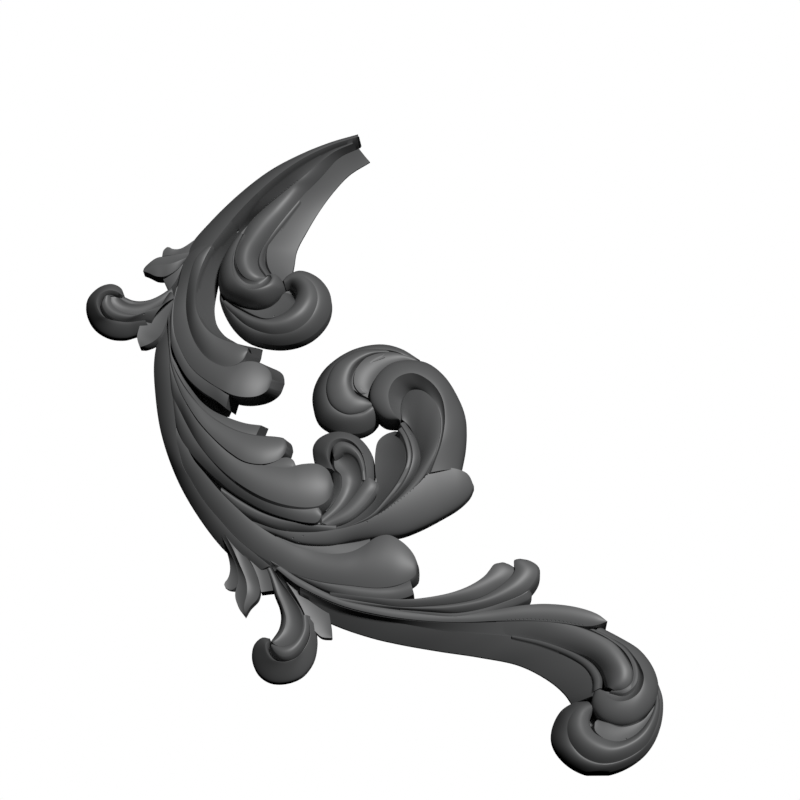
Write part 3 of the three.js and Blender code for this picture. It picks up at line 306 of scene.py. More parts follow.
@dataclass(frozen=True)
class Strake:
    """A closed solid between rails that run side by side, with a carved face and walls to the back.

    Each form lies between two rails that follow each other in the list.
    toe spreads the foot at the far end, in drawing units across and down, from the share toe_from on.
    """

    rails: list[Rail]
    forms: list[Form]
    tuck: Tuck = Tuck.BOTH
    toe: tuple[float, float] = (0.0, 0.0)
    toe_from: float = 0.6
    tuck_width: float = 1.1 * MILLIMETRE
    tuck_drop: float = 2.2 * MILLIMETRE
    back_stock: float = 2.0 * MILLIMETRE
    thinnest_edge: float = 0.4 * MILLIMETRE

    def _lines(self, drawing: Drawing, cut: Cut) -> list[np.ndarray]:
        """Divides all the rails into the same number of stations.

        Args:
            drawing: The drawing that the rails are laid out on.
            cut: How finely the form is cut.

        Returns:
            The stations' places on each rail.
        """
        placed = [drawing.placed(rail) for rail in self.rails]
        lengths = [np.linalg.norm(np.diff(points, axis=0), axis=1).sum() for points in placed]
        stations = max(cut.fewest_stations, math.ceil(max(lengths) / cut.station_step))
        return [flowing_line(points, stations, cut.span_samples) for points in placed]

    def _carved(self, lines: list[np.ndarray], cut: Cut) -> np.ndarray:
        """Raises the carved face over the rails.

        Args:
            lines: The stations' places on each rail.
            cut: How finely the form is cut.

        Returns:
            The face's points by station and column.
        """
        along = np.linspace(0.0, 1.0, len(lines[0]))
        parts = []
        for index, form in enumerate(self.forms):
            start, stop = lines[index], lines[index + 1]
            widths = np.hypot(*(stop - start)[:, [0, 2]].T)
            wanted = widths.max() / cut.column_step
            columns = round(float(np.clip(wanted, cut.fewest_columns, cut.most_columns)))
            across = (1.0 - np.cos(np.linspace(0.0, math.pi, columns + 1))) / 2.0
            points = start[:, None] + (stop - start)[:, None] * across[None, :, None]
            points[:, :, 1] -= form.rise(along, across, widths, stop[:, 1] - start[:, 1])
            parts.append(points[:, 1 if index else 0 :])
        return np.concatenate(parts, axis=1)

    def _tucked(self, face: np.ndarray, cut: Cut) -> np.ndarray:
        """Adds a skirt on each side that passes down under a neighbour.

        Args:
            face: The face's points by station and column.
            cut: How finely the form is cut.

        Returns:
            The face with its skirts.
        """
        side = face[:, -1] - face[:, 0]
        side[:, 1] = 0.0
        length = np.linalg.norm(side, axis=1, keepdims=True)
        side = np.where(length > cut.pointed_end, side / np.maximum(length, cut.pointed_end), side)
        down = np.array([0.0, self.tuck_drop, 0.0])
        rows = [face]
        if self.tuck.value[0]:
            rows.insert(0, (face[:, 0] - side * self.tuck_width + down)[:, None])
        if self.tuck.value[1]:
            rows.append((face[:, -1] + side * self.tuck_width + down)[:, None])
        return np.concatenate(rows, axis=1)

    def solid(self, drawing: Drawing, cut: Cut) -> tuple[np.ndarray, np.ndarray]:
        """Builds the closed solid.

        Args:
            drawing: The drawing that the rails are laid out on.
            cut: How finely the form is cut.

        Returns:
            The corners, one a row, and the triangles that join them.
        """
        face = self._tucked(self._carved(self._lines(drawing, cut), cut), cut)
        face[:, :, 1] = np.minimum(face[:, :, 1], -self.thinnest_edge)
        along = np.linspace(0.0, 1.0, len(face))
        ramp = np.clip((along - self.toe_from) / (1.0 - self.toe_from), 0.0, 1.0)
        reach = ramp * ramp * (3.0 - 2.0 * ramp) * drawing.unit
        foot = face[:, [0, -1]].copy()
        foot[:, :, 0] += self.toe[0] * reach[:, None]
        foot[:, :, 2] -= self.toe[1] * reach[:, None]
        foot[:, :, 1] = self.back_stock
        ring = np.concatenate([face, foot[:, ::-1]], axis=1)
        return closed_loft(ring, cut.weld)


def level(rise: float, *sides: Line) -> Strake:
    """Builds a flat form at one rise.

    Args:
        rise: Its rise over the back.
        sides: Its two sides, drawn across and down.

    Returns:
        The form, which tucks under no neighbour.
    """
    rails = [tuple((across, down, rise) for across, down in side) for side in sides]
    return Strake(rails, [swell(0)], Tuck.NONE)


def closed_loft(ring: np.ndarray, weld: float) -> tuple[np.ndarray, np.ndarray]:
    """Joins rings of points into a closed solid that faces outwards.

    Args:
        ring: The rings' points by station and place round the ring.
        weld: The distance under which corners count as one.

    Returns:
        The corners, one a row, and the triangles that join them.
    """
    stations, places, _ = ring.shape
    index = np.arange(stations * places).reshape(stations, places)
    turned = np.roll(index, -1, axis=1)
    a, b, c, d = (part.ravel() for part in (index[:-1], index[1:], turned[1:], turned[:-1]))
    sides = np.concatenate([np.stack([a, b, c], axis=1), np.stack([a, c, d], axis=1)])
    fan = np.stack([np.zeros(places - 2, int), np.arange(1, places - 1), np.arange(2, places)], axis=1)
    triangles = np.concatenate([sides, index[0][fan], index[-1][fan][:, ::-1]])
    keys = np.round(ring.reshape(-1, 3) / weld).astype(np.int64)
    _, first, inverse = np.unique(keys, axis=0, return_index=True, return_inverse=True)
    corners = ring.reshape(-1, 3)[first]
    triangles = inverse.ravel()[triangles]
    differ = (triangles != np.roll(triangles, 1, axis=1)).all(axis=1)
    triangles = triangles[differ]
    p, q, r = (corners[triangles[:, k]] for k in range(3))
    volume = np.einsum("ij,ij->i", p, np.cross(q, r)).sum()
    return corners, triangles if volume > 0.0 else triangles[:, ::-1]


def linked_object(name: str, data: bpy.types.ID) -> bpy.types.Object:
    """Makes an object of its data and links it to the scene.

    Args:
        name: The object's name.
        data: Its mesh, lamp or camera.

    Returns:
        The object.
    """
    made = bpy.data.objects.new(name, data)
    bpy.context.scene.collection.objects.link(made)
    return made


def mesh_object(name: str, corners: np.ndarray, triangles: np.ndarray) -> bpy.types.Object:
    """Makes an object of corners and triangles.

    Args:
        name: The object's name.
        corners: The corners, one a row.
        triangles: The triangles that join them.

    Returns:
        The object, linked to the scene.
    """
    mesh = bpy.data.meshes.new(name)
    mesh.from_pydata(corners.tolist(), [], triangles.tolist())
    return linked_object(name, mesh)


class Operation(Enum):
    """How two solids are combined."""

    JOIN = "UNION"
    CUT = "DIFFERENCE"


def combine(work: bpy.types.Object, tool: bpy.types.Object, operation: Operation) -> None:
    """Joins a tool to a workpiece or cuts it away, and clears the tool.

    Args:
        work: The workpiece, which is changed.
        tool: The solid that is joined or cut away.
        operation: Which of the two is done.
    """
    step = work.modifiers.new("combine", "BOOLEAN")
    step.operation = operation.value
    step.solver = "MANIFOLD"
    step.object = tool
    graph = bpy.context.evaluated_depsgraph_get()
    combined = bpy.data.meshes.new_from_object(work.evaluated_get(graph))
    work.modifiers.clear()
    rough = work.data
    work.data = combined
    bpy.data.meshes.remove(rough)
    bpy.data.meshes.remove(tool.data)


@dataclass(frozen=True)
class Carving:
    """A group of forms that are carved together, each form one field, from the outside in."""

    def strakes(self) -> list[Strake]:
        """Returns the forms in their order."""
        return [getattr(self, form.name) for form in fields(self)]

    def build(self, drawing: Drawing, cut: Cut) -> bpy.types.Object:
        """Joins the group's forms into one solid.

        Args:
            drawing: The drawing that the rails are laid out on.
            cut: How finely the forms are cut.

        Returns:
            The group as one object.
        """
        name = type(self).__name__
        solids = [mesh_object(name, *strake.solid(drawing, cut)) for strake in self.strakes()]
        whole = solids[0]
        for solid in solids[1:]:
            combine(whole, solid, Operation.JOIN)
        LOG.info("%s: %d forms, %d faces", name, len(solids), len(whole.data.polygons))
        return whole


@dataclass(frozen=True)
class Crescent(Carving):
    """The long crescent from the broken top end down the stem, with its channel, tube and flat band."""

    stem: Strake = Strake([
        ((358, 134, 20), (330, 142, 30), (300, 154, 34), (270, 170, 29), (240, 193, 22), (210, 222, 17),
         (190, 246, 14), (177, 277, 10), (167, 306, 7), (158, 338, 5), (154, 362, 4), (155, 392, 4),
         (161, 433, 4), (176, 477, 4), (198, 516, 5), (225, 550, 6), (255, 574, 7)),
        ((357.5, 136.5, 27), (330, 145, 36), (300, 159.5, 43), (270, 181, 43), (240, 210, 40),
         (213, 243, 37), (200, 262, 32), (190, 285, 26), (183, 305, 22), (176, 325, 20), (170, 345, 19),
         (171, 380, 22), (174, 410, 22), (177, 440, 20), (182, 464, 19.5), (190, 479, 19.5),
         (203, 500, 19.5), (218, 518, 20), (235, 537, 21), (255, 554, 22), (269, 566, 22))],
        [swell(0.12)], Tuck.RIGHT)
    stem_side: Strake = Strake([
        under(((350, 138.5, 30), (330, 145, 36), (300, 159.5, 43), (270, 181, 43), (250, 199.5, 42),
         (232, 219, 40), (213, 243, 37), (203, 262, 36), (197, 280, 35), (195, 300, 35), (198, 315, 36),
         (206, 328, 38), (216, 336, 40), (228, 341, 42), (240, 344.5, 44), (248, 347, 45))),
        under(((353, 143, 24), (335, 151.5, 27), (320, 162, 27), (300, 179, 25), (285, 191, 20),
         (262, 210, 13), (245, 228, 4), (233, 246, 2), (224, 262, 2), (218, 288, 2), (214.5, 310, 2),
         (217, 325, 3), (224, 335, 6), (234, 341.5, 18), (242, 345.5, 34), (248, 348, 42)))],
        [hollow(0.28, 0.05)], Tuck.LEFT)
    broken_end: Strake = Strake([
        ((359, 136, 27), (354, 137.5, 28), (347, 139.5, 30)),
        ((361.5, 146, 1), (355, 148, 1), (348, 150, 1))],
        [swell(0.02)], Tuck.NONE)
    tube: Strake = Strake([
        ((354.5, 142.5, 23), (335, 151, 27.5), (320, 162, 27.5), (300, 179, 25.5), (285, 191, 20),
         (262, 210, 17), (250, 222, 20), (241, 238, 27), (236, 252, 33), (237, 266, 36), (245, 277, 37),
         (256, 280.5, 36), (266, 277, 33)),
        ((356, 149, 11), (340, 157, 15), (320, 178, 15), (300, 199, 14), (283, 219, 15), (268, 240, 18),
         (259, 258, 21), (260, 268, 24), (266, 277, 28))],
        [swell(0.08, 0.36)], Tuck.NONE)
    flat_band: Strake = Strake([
        ((359, 148.5, 13), (340, 157.5, 15), (320, 177, 15), (300, 199, 14.5), (285, 218, 16),
         (272, 238, 18), (267, 250, 19), (268, 266, 21), (276, 280, 23)),
        ((370, 162, 2), (350, 174.5, 2), (335, 190, 2), (320, 210, 2), (307, 231, 3), (297, 250, 4),
         (294, 265, 6), (290, 282, 10))],
        [hollow(0.04)], Tuck.LEFT)
    rib: Strake = Strake([
        ((299, 200, 14), (283, 219, 17), (269, 238, 21), (260.5, 252, 25), (259, 264, 28), (266, 276, 31)),
        ((301, 202, 13), (287, 220, 15), (273, 238, 18), (264.5, 252, 20), (263, 264, 22), (269, 275, 26))],
        [rounded(0.4)])


@dataclass(frozen=True)
class UpperVolute(Carving):
    """The upper volute: the tube that ends in a ball, the tongue under it and two coils."""

    tube_ridge: ClassVar[Rail] = (
        (242, 234, 26), (234, 250, 33), (231.5, 266, 38), (236, 280, 41), (247, 288, 43), (258, 288, 44),
        (267, 284, 43), (271.5, 278, 40), (270, 274, 36))
    tube_side: Strake = Strake([
        ((241, 234, 12), (233, 246, 5), (225, 260, 3), (220, 274, 3), (219, 288, 3), (223, 298, 8),
         (236, 305, 13), (252, 309.5, 15), (266, 308.5, 16), (277, 302, 17), (285, 292, 18), (282, 281, 22),
         (276, 275.5, 28), (271, 273.5, 34)),
        tube_ridge],
        [shoulder()], Tuck.RIGHT)
    tube_channel: Strake = Strake([
        under(tube_ridge),
        under(((244, 233, 33), (236, 250, 36), (236, 266, 38), (244, 277, 38), (256, 280.5, 37),
         (267, 276, 34)))],
        [hollow(0.35)])
    tongue: Strake = Strake([
        ((230, 302, 14), (244, 308, 18), (258, 310, 20), (270, 307, 21), (278, 301, 22), (284, 293, 24),
         (289, 293, 26)),
        ((234, 304, 20), (245, 310, 24), (255, 315, 27), (265, 318, 29), (274, 317, 30), (283, 313, 31),
         (290, 307, 30), (294, 301, 29), (292, 295, 28))],
        [hollow(0.05)])
    coils: Strake = Strake([
        ((225, 300, 16), (238, 309, 22), (255, 317, 27), (267, 319, 29), (280, 315, 30), (290, 308, 29),
         (296, 299, 26), (297, 290, 22), (291, 284, 18), (285, 286, 16)),
        ((222, 303, 14), (233, 314, 20), (246, 325, 24), (262, 332, 26), (277, 334, 27), (295, 330, 28),
         (310, 318, 29), (317.5, 300, 29), (314, 285, 28), (303, 276, 27), (292, 276, 24), (284, 281, 20)),
        ((220, 290, 4), (220, 302, 6), (232, 325, 12), (250, 339.5, 14), (278, 345.5, 14), (300, 342, 14),
         (316, 333, 14), (328, 318.5, 13), (331.5, 304, 13), (329, 291, 13), (320, 279, 14), (308, 272, 15),
         (298, 270.5, 16), (288, 275, 17), (283, 280, 18))],
        [swell(0.3), swell(0.24)], Tuck.LEFT)
    eye: Strake = level(8,
        ((280, 276), (278, 312)),
        ((304, 280), (302, 312)))


@dataclass(frozen=True)
class LeftSprig(Carving):
    """The sprig of three small leaves that springs from the left of the crescent."""

    top_leaf: Strake = Strake([
        ((197, 238, 16), (180, 248.5, 15), (172, 248.5, 16), (168, 246.5, 16), (163.5, 250, 15),
         (162, 256, 14)),
        ((190, 252, 18), (178, 254, 18), (170, 255, 17), (162, 256, 15))],
        [hollow(0.05)], Tuck.RIGHT)
    middle_leaf: Strake = Strake([
        ((190, 252, 18), (178, 254, 18), (166, 256, 17), (157, 257.5, 16), (150, 262, 15), (144, 268, 14),
         (143, 271, 14)),
        ((187, 257, 20), (172, 263, 21), (158, 265, 19), (150, 266, 17), (143, 271, 14)),
        ((184, 262, 18), (176, 270, 18), (168, 275, 17), (163, 276.5, 16), (156, 276, 16), (148, 272.5, 15),
         (143, 271, 14))],
        [hollow(0.06), swell(0.04)], Tuck.NONE)
    low_leaf: Strake = Strake([
        ((166, 273, 14), (163, 277, 12), (165, 283, 11), (168, 289, 10)),
        ((184, 262, 17), (180, 272, 16), (175, 282, 14), (169, 289.5, 11))],
        [swell(0.05)], Tuck.RIGHT)


@dataclass(frozen=True)
class LeftScroll(Carving):
    """The small scroll on the left, curled under at its end, and the leaf below it."""

    stem: Strake = Strake([
        ((172, 287, 16), (160, 295, 16), (150, 299.5, 16), (140, 301, 16), (132, 300, 17),
         (124, 296.5, 18)),
        ((172, 290, 20), (160, 298, 20), (150, 302, 20), (140, 304.5, 20), (132, 304.5, 20), (125, 302, 21),
         (120, 298, 22)),
        ((174, 298, 22), (160, 306, 21), (144, 314, 20), (130, 313.5, 20), (117, 309, 21), (111, 302, 22),
         (111, 295, 23)),
        ((152, 320, 20), (141, 319, 20), (126, 321, 21), (118, 319.5, 22), (110, 316, 23), (105, 311, 24),
         (102, 303, 25), (105, 296, 26))],
        [swell(0.3), hollow(0.12), swell(0.25)], Tuck.RIGHT)
    curl: Strake = Strake([
        ((145, 320, 20), (128, 322, 21), (118, 321, 22), (109, 319, 24), (103, 316, 26), (98, 308, 28),
         (97, 300, 29), (101, 294, 30), (109, 290.5, 30), (118, 292, 28), (122, 295, 26)),
        ((152, 333, 6), (136, 335.5, 6), (125, 338.5, 6), (110, 337.5, 6), (96, 330, 6), (88, 319, 6),
         (86, 306, 7), (89, 297, 8), (100, 287, 10), (112, 284, 12), (121, 288, 14), (124, 296, 18))],
        [rounded(0.2)], Tuck.LEFT)
    pocket: Strake = level(13,
        ((103, 291), (99, 304), (106, 316), (118, 320)),
        ((121, 294), (112, 300), (112, 308), (120, 312)))
    leaf: Strake = Strake([
        ((168, 301, 20), (150, 311, 18), (144, 315, 18), (139, 328, 16), (137, 337, 14), (139, 345, 11),
         (140, 347, 10)),
        ((174, 299, 20), (170, 310, 19), (161, 334, 15), (153, 341.5, 12), (146, 345, 11), (140, 347, 10))],
        [hollow(0.04)], Tuck.RIGHT)


@dataclass(frozen=True)
class UpperLobes(Carving):
    """The first group of three lobes, which curl forward below the upper volute."""

    first_lobe: Strake = Strake([
        ((212.5, 243.5, 36.5), (204, 260, 35), (197, 280, 35), (195, 300, 35), (198, 315, 36),
         (206, 328, 38), (216, 336, 40), (228, 341, 42), (240, 344.5, 44), (248, 347.5, 45)),
        ((211, 243.5, 35.5), (203, 250, 34.5), (196, 258, 33), (189, 280, 28), (186, 305, 24),
         (189, 327, 27), (196, 345, 30), (208, 359, 36), (224, 366, 41), (236, 364, 44), (243, 359, 45.5),
         (247, 352, 46))],
        [swell(0.12)], toe=(11, -15), toe_from=0.65)
    second_lobe: Strake = Strake([
        ((209, 243.5, 34.5), (202, 250, 33.5), (196, 258, 32), (189, 280, 27), (186, 305, 23.5),
         (189, 327, 27), (196, 345, 32), (208, 359, 39), (224, 366, 45), (234, 365, 46.5),
         (243, 361.5, 46.5), (253, 361, 45.5), (263, 364.5, 43.5), (270, 371, 41.5), (272, 379, 41)),
        ((207, 243.5, 33), (196, 248, 27), (186, 258, 22), (178, 285, 20), (174, 305, 19), (174, 330, 21),
         (181, 350, 26), (192, 368, 33), (208, 381, 41), (224, 390.5, 47), (233, 394.5, 47.5),
         (244, 396.5, 47), (257, 395.5, 45), (267, 390, 42.5), (272, 379, 41))],
        [swell(0.06)], Tuck.LEFT, toe=(10, -12))
    third_lobe: Strake = Strake([
        ((178, 285, 19.5), (174, 305, 18.5), (174, 330, 20.5), (181, 350, 25.5), (192, 368, 32.3),
         (208, 381, 40), (220, 388.5, 45), (229, 394, 45)),
        ((172, 300, 16), (170, 325, 18), (171.5, 345, 20.5), (178, 362, 25), (188, 378, 31), (202, 391, 36),
         (216, 400, 39), (226, 408, 39))],
        [swell(0.08)], Tuck.LEFT, toe=(6, -8))


@dataclass(frozen=True)
class MiddleLobes(Carving):
    """The second group of lobes, half-way down the crescent."""

    upper_lobe: Strake = Strake([
        ((169, 335, 18), (172, 355, 19), (184, 376, 22), (192, 390, 25), (202, 402, 27), (214, 411, 29),
         (230, 418, 31), (246, 423, 32), (261, 425, 32)),
        under(((168.5, 330, 18), (171, 358, 20), (180, 378, 25), (192, 396, 32), (210, 415, 36),
         (230, 428, 38), (246, 434, 38), (256, 435, 37)))],
        [swell(0.06)], Tuck.RIGHT, toe=(5, -9), toe_from=0.8)
    nose_lobe: Strake = Strake([
        ((168.5, 330, 18), (171, 358, 20), (180, 380, 27), (192, 398, 35), (210, 416, 40), (230, 428, 43),
         (248, 434, 44), (264, 436, 43.5), (276, 437, 42.5), (284, 439, 42), (287, 446, 42)),
        ((168, 310, 16), (168.5, 340, 18.5), (171, 365, 22), (179, 388, 29), (185, 400, 34), (198, 420, 41),
         (214, 438, 44), (230, 452, 46), (245, 461, 47), (262, 463.5, 46.5), (277, 460, 44.5),
         (284, 454, 43), (287, 446, 42))],
        [swell(0.1)], Tuck.LEFT, toe=(3, -10), toe_from=0.75)


@dataclass(frozen=True)
class LowerLobes(Carving):
    """The third group, two broad lobes over the inner scroll, and the fillet under them."""

    small_lobe: Strake = Strake([
        ((240, 455, 40), (262, 458, 42), (278, 458, 43), (287, 457, 43), (293, 459.5, 43), (296, 466, 43)),
        ((236, 466, 39), (262, 474, 42), (280, 475, 43), (290, 474, 43), (296, 469, 43))],
        [swell(0.08)], Tuck.RIGHT)
    broad_lobe: Strake = Strake([
        ((169.5, 350, 18.5), (171, 366, 21.5), (178.5, 388, 28), (185.5, 402, 33.5), (196, 418, 38.5),
         (207, 430, 41), (230, 452, 43.5), (255, 463, 44.5), (275, 466, 44.5), (290, 466, 44),
         (303, 463.5, 43), (317, 463.5, 41), (328, 470, 38.5), (333.5, 484, 37)),
        ((169.5, 362, 19), (170, 378, 20.5), (172, 395, 22), (182, 415, 27), (196, 440, 33), (212, 460, 37),
         (228, 475, 40), (248, 489, 42), (268, 499, 42.5), (288, 505, 42), (308, 507, 40.5),
         (321, 504.5, 39), (329, 498, 38), (333.5, 484, 37))],
        [swell(0.1)], Tuck.RIGHT)
    under_side: Strake = Strake([
        ((171, 372, 21), (174.5, 395, 23.5), (182, 415, 27), (196, 440, 32.5), (212, 460, 36),
         (228, 475, 38), (248, 489, 39), (268, 499, 39.5), (288, 505, 39), (305, 506.5, 38), (317, 506, 37),
         (321, 512, 36)),
        ((170.5, 375, 20.5), (172.5, 400, 21.5), (176, 423, 21.5), (183, 442, 23), (190, 452, 25),
         (197, 460, 26), (210, 473, 28), (227, 488, 29), (245, 500, 30), (265, 510.5, 31), (285, 517.5, 32),
         (305, 522, 33), (317, 522, 34), (321, 517, 36))],
        [swell(0.14)], Tuck.LEFT)
    fillet: Strake = Strake([
        ((221, 488, 29), (240, 501, 29), (260, 512, 29), (280, 519, 29), (300, 523, 29), (318, 525, 28),
         (336, 525.5, 27)),
        ((221, 492, 28), (240, 509, 26), (260, 520, 25), (280, 527, 24), (300, 529.5, 24), (318, 530, 25),
         (336, 530, 26))],
        [swell(0.2)])


@dataclass(frozen=True)
class InnerScroll(Carving):
    """The inner scroll that curls behind the third group, with the leaf at its right."""

    curl: Strake = Strake([
        ((332, 469, 22), (327, 455, 26), (330, 444, 28), (339, 438.5, 29), (351, 441, 29), (360, 450, 28),
         (364, 460, 27), (366, 478, 26), (362, 492, 25)),
        ((316, 468, 10), (313, 456, 9), (313, 447, 9), (318, 439, 10), (329, 433, 12), (342, 431.5, 14),
         (357, 436.5, 14), (367, 446, 12), (374, 460, 11), (375, 480, 12), (372, 492, 12))],
        [rounded(0.15)], Tuck.LEFT)
    inner_wall: Strake = Strake([
        ((333, 454, 22), (333, 447, 24), (340, 441.5, 26), (351, 444, 27), (359, 451, 27), (364, 462, 26),
         (366, 480, 25)),
        ((334, 457, 21), (344, 452, 24), (355, 457, 26), (361, 470, 26), (362, 480, 25))],
        [swell(0.25)])
    bowl: Strake = Strake([
        ((334, 456, 14), (335, 468, 20), (341, 475, 23), (342, 482, 24), (341, 489, 24), (336, 499, 24),
         (330, 508, 23), (318, 520, 22)),
        under(((340, 452, 22), (355, 457, 26), (361, 470, 26), (362, 480, 25), (358, 489, 25),
         (352, 498, 24), (343, 508, 23), (322, 524, 22)))],
        [hollow(0.25)])
    lip: Strake = Strake([
        under(((335, 468, 20), (341, 475, 23), (342, 482, 24), (341, 489, 24), (336, 499, 24),
         (326, 511, 22))),
        ((331, 470, 12), (333, 480, 12), (332, 490, 12), (326, 500, 12), (318, 508, 12))],
        [rounded(0.1)], Tuck.LEFT)
    leaf: Strake = Strake([
        ((366, 478, 25), (362, 484, 25), (358, 490, 25), (352, 498, 24), (343, 508, 23), (322, 523, 22)),
        ((371, 478, 25), (376, 483, 25), (376, 488, 25), (370, 498, 24), (360, 509.5, 23), (348, 519, 22),
         (330, 526, 21))],
        [swell(0.15)])


@dataclass(frozen=True)
class UprightLeaf(Carving):
    """The upright leaf between the scrolls and the two ribs on its right."""

    leaf: Strake = Strake([
        ((322, 530, 19), (345, 524, 20), (362, 513, 20), (376, 497, 20), (376, 480, 19), (375, 467, 18),
         (375, 455, 17), (378, 441, 16), (386, 434, 15), (395, 431, 15)),
        under(((330, 531, 26), (350, 526, 29), (370, 515, 32), (385, 499, 34), (398, 481, 36),
         (405, 464, 37), (405, 450, 36), (402, 438, 32), (398, 431.5, 26)))],
        [hollow(0.08)], Tuck.RIGHT)
    first_rib: Strake = Strake([
        ((330, 531, 26), (350, 525, 30), (370, 515, 33), (385, 499, 36), (398, 481, 38), (406, 464, 38.5),
         (407, 453, 38), (403, 438, 35), (398, 430, 31)),
        ((332, 532, 25), (352, 526, 29), (373, 516, 32), (389, 500, 35), (402, 483, 37), (410, 466, 37.5),
         (411.5, 453, 37), (407, 436, 34), (402, 427, 30))],
        [rounded(0.3)])
    second_rib: Strake = Strake([
        ((355, 525, 29), (375, 515, 32), (387, 502, 35), (402, 484, 37), (410, 467, 38), (412, 455, 38),
         (410, 443, 36), (405, 432, 33), (400, 424, 30)),
        ((360, 526, 27), (383, 509, 30), (399, 493, 33), (412, 475, 35), (418, 458, 35), (416, 445, 34),
         (412, 435, 32), (403, 422, 29))],
        [rounded(0.3)])


@dataclass(frozen=True)
class MiddleVolute(Carving):
    """The large middle volute: two coils on the left, the spoon, and the tube that rolls over the cup."""

    coil_crease: ClassVar[Rail] = (
        (412, 359, 20), (398, 352, 24), (382, 349, 26), (362, 350, 29), (350, 354, 30), (333, 367, 31),
        (326, 388, 31), (331, 405, 31), (346, 414, 31), (362, 412, 31), (375, 405, 30), (379, 412, 24))
    outer_coil: Strake = Strake([
        coil_crease,
        ((420, 360, 15), (402, 349, 13), (386, 344.5, 12), (370, 345, 11), (352, 350, 10), (336, 359, 10),
         (323, 371, 10), (314, 388, 11), (312.5, 404, 12), (318, 420.5, 13), (330, 429, 14), (345, 433, 15),
         (360, 433.5, 15), (372, 428, 15), (378, 421, 16))],
        [swell(0.26)], Tuck.LEFT)
    inner_coil: Strake = Strake([
        ((390, 352, 27), (372, 354, 32), (355, 365, 34), (349.5, 381, 34), (354, 393, 34), (365, 399, 33),
         (376, 405, 30)),
        under(coil_crease[2:11])],
        [rounded(0.2)])
    spoon: Strake = Strake([
        ((428, 365, 17), (410, 356.5, 22), (390, 351.5, 28), (375, 352.5, 31), (362, 361, 32),
         (355, 372, 32), (354.5, 385, 31), (362, 393.5, 29), (369, 391, 27)),
        ((430, 368, 17), (410, 362, 24), (393, 365, 27), (381, 374, 28), (374, 386, 28), (371, 394, 27))],
        [hollow(0.1)], Tuck.RIGHT)
    groove: Strake = Strake([
        ((380, 350, 28), (353, 365, 29), (350, 385, 29), (372, 400, 26)),
        ((385, 357, 28), (362, 368, 29), (358, 385, 29), (376, 396, 26))],
        [swell(0)], Tuck.NONE)
    roll: Strake = Strake([
        ((425, 474, 30), (436, 450, 38), (441, 425, 40), (437, 405, 38), (424, 391, 32), (411, 390, 24),
         (403, 398, 19), (400.5, 408, 20), (401, 419, 24)),
        ((431, 472, 34), (442, 440, 41), (445, 415, 43), (441, 395, 43), (429, 380, 43), (412, 372.5, 43),
         (396, 378, 42), (388.5, 392, 41), (391, 408, 38), (400, 420, 32)),
        ((461, 472, 12), (466, 445, 12), (466, 420, 12), (459, 400, 12), (445, 378, 13), (428, 364.5, 16),
         (410, 360.5, 26), (392, 363, 30), (379, 373, 32), (371, 388, 32), (370, 400, 31), (376, 412, 29),
         (385, 419.5, 28), (400, 421, 28))],
        [hollow(0.12), shoulder(0.9)], Tuck.LEFT)
    plume: Strake = Strake([
        ((380, 513, 25), (399, 495, 24), (412, 477, 23), (418, 460, 22), (416, 442, 22), (410, 427, 23),
         (402, 419, 24)),
        ((386, 513, 26), (408, 494, 28), (425, 474, 32), (436, 450, 38), (441, 425, 39.5), (437, 405, 38),
         (424, 391, 32), (411, 390, 24), (404, 397, 20), (401, 408, 20), (402, 419, 24))],
        [swell(0.08)], Tuck.RIGHT)


@dataclass(frozen=True)
class LowerLeaves(Carving):
    """The long lobe that reaches out to the right and the two broad lobes below it."""

    long_lobe: Strake = Strake([
        ((252, 521, 26), (280, 530, 27), (310, 532, 28), (330, 530, 29), (350, 526, 30), (378, 514, 31),
         (398, 500, 32), (418, 484, 32), (431, 471, 31), (445, 467.5, 29), (458, 469, 26), (468, 474, 21),
         (474, 486, 14)),
        ((258, 527, 24), (285, 538, 22), (300, 543, 21), (330, 545, 19), (357, 540, 16), (385, 537, 13),
         (402, 535, 11), (420, 528.5, 10), (440, 518.5, 9), (459, 507, 9), (470, 496, 10), (474, 486, 14))],
        [shoulder(0.7)], Tuck.NONE)
    strip: Strake = Strake([
        under(((275, 535, 21), (300, 543, 19), (330, 545, 18), (357, 542, 17), (370, 539, 17))),
        ((280, 541, 19), (305, 551, 17), (335, 555, 17), (352, 552, 17), (370, 545, 17))],
        [swell(0.03)])
    broad_lobe: Strake = Strake([
        ((173.5, 405, 20.5), (176, 425, 19), (186, 445, 24), (194, 460, 27), (203, 471, 29), (220, 491, 30),
         (236, 507, 30), (252, 521, 30), (275, 536, 30), (295, 546, 31), (315, 551.5, 31), (335, 553.5, 32),
         (352, 551, 33), (364, 545, 33), (376, 537, 33), (388, 534.5, 33), (400, 540, 33), (410, 549, 32),
         (416, 559, 31), (417, 568, 30)),
        ((173, 407, 20), (174, 435, 18.5), (183, 464, 19), (190, 478, 19), (203, 499, 19), (218, 517, 19.5),
         (235, 536, 20), (260, 556, 22), (290, 572, 25), (320, 581, 27), (350, 585, 28), (378, 587.5, 29),
         (396, 585, 30), (410, 579.5, 30), (416, 574, 30), (417, 568, 30))],
        [swell(0.12)], Tuck.RIGHT, toe=(2, -2), toe_from=0.7)
    fold: Strake = Strake([
        ((270, 560, 24), (300, 575, 25), (330, 582.5, 26), (350, 585.5, 27), (378, 588, 28),
         (396, 585.5, 28), (410, 579.5, 29)),
        ((275, 566, 22), (302, 580, 22), (328, 591, 22), (350, 597.5, 23), (375, 601, 24), (396, 599.5, 25),
         (407, 597, 26), (414, 594, 27))],
        [swell(0.2)], Tuck.LEFT)


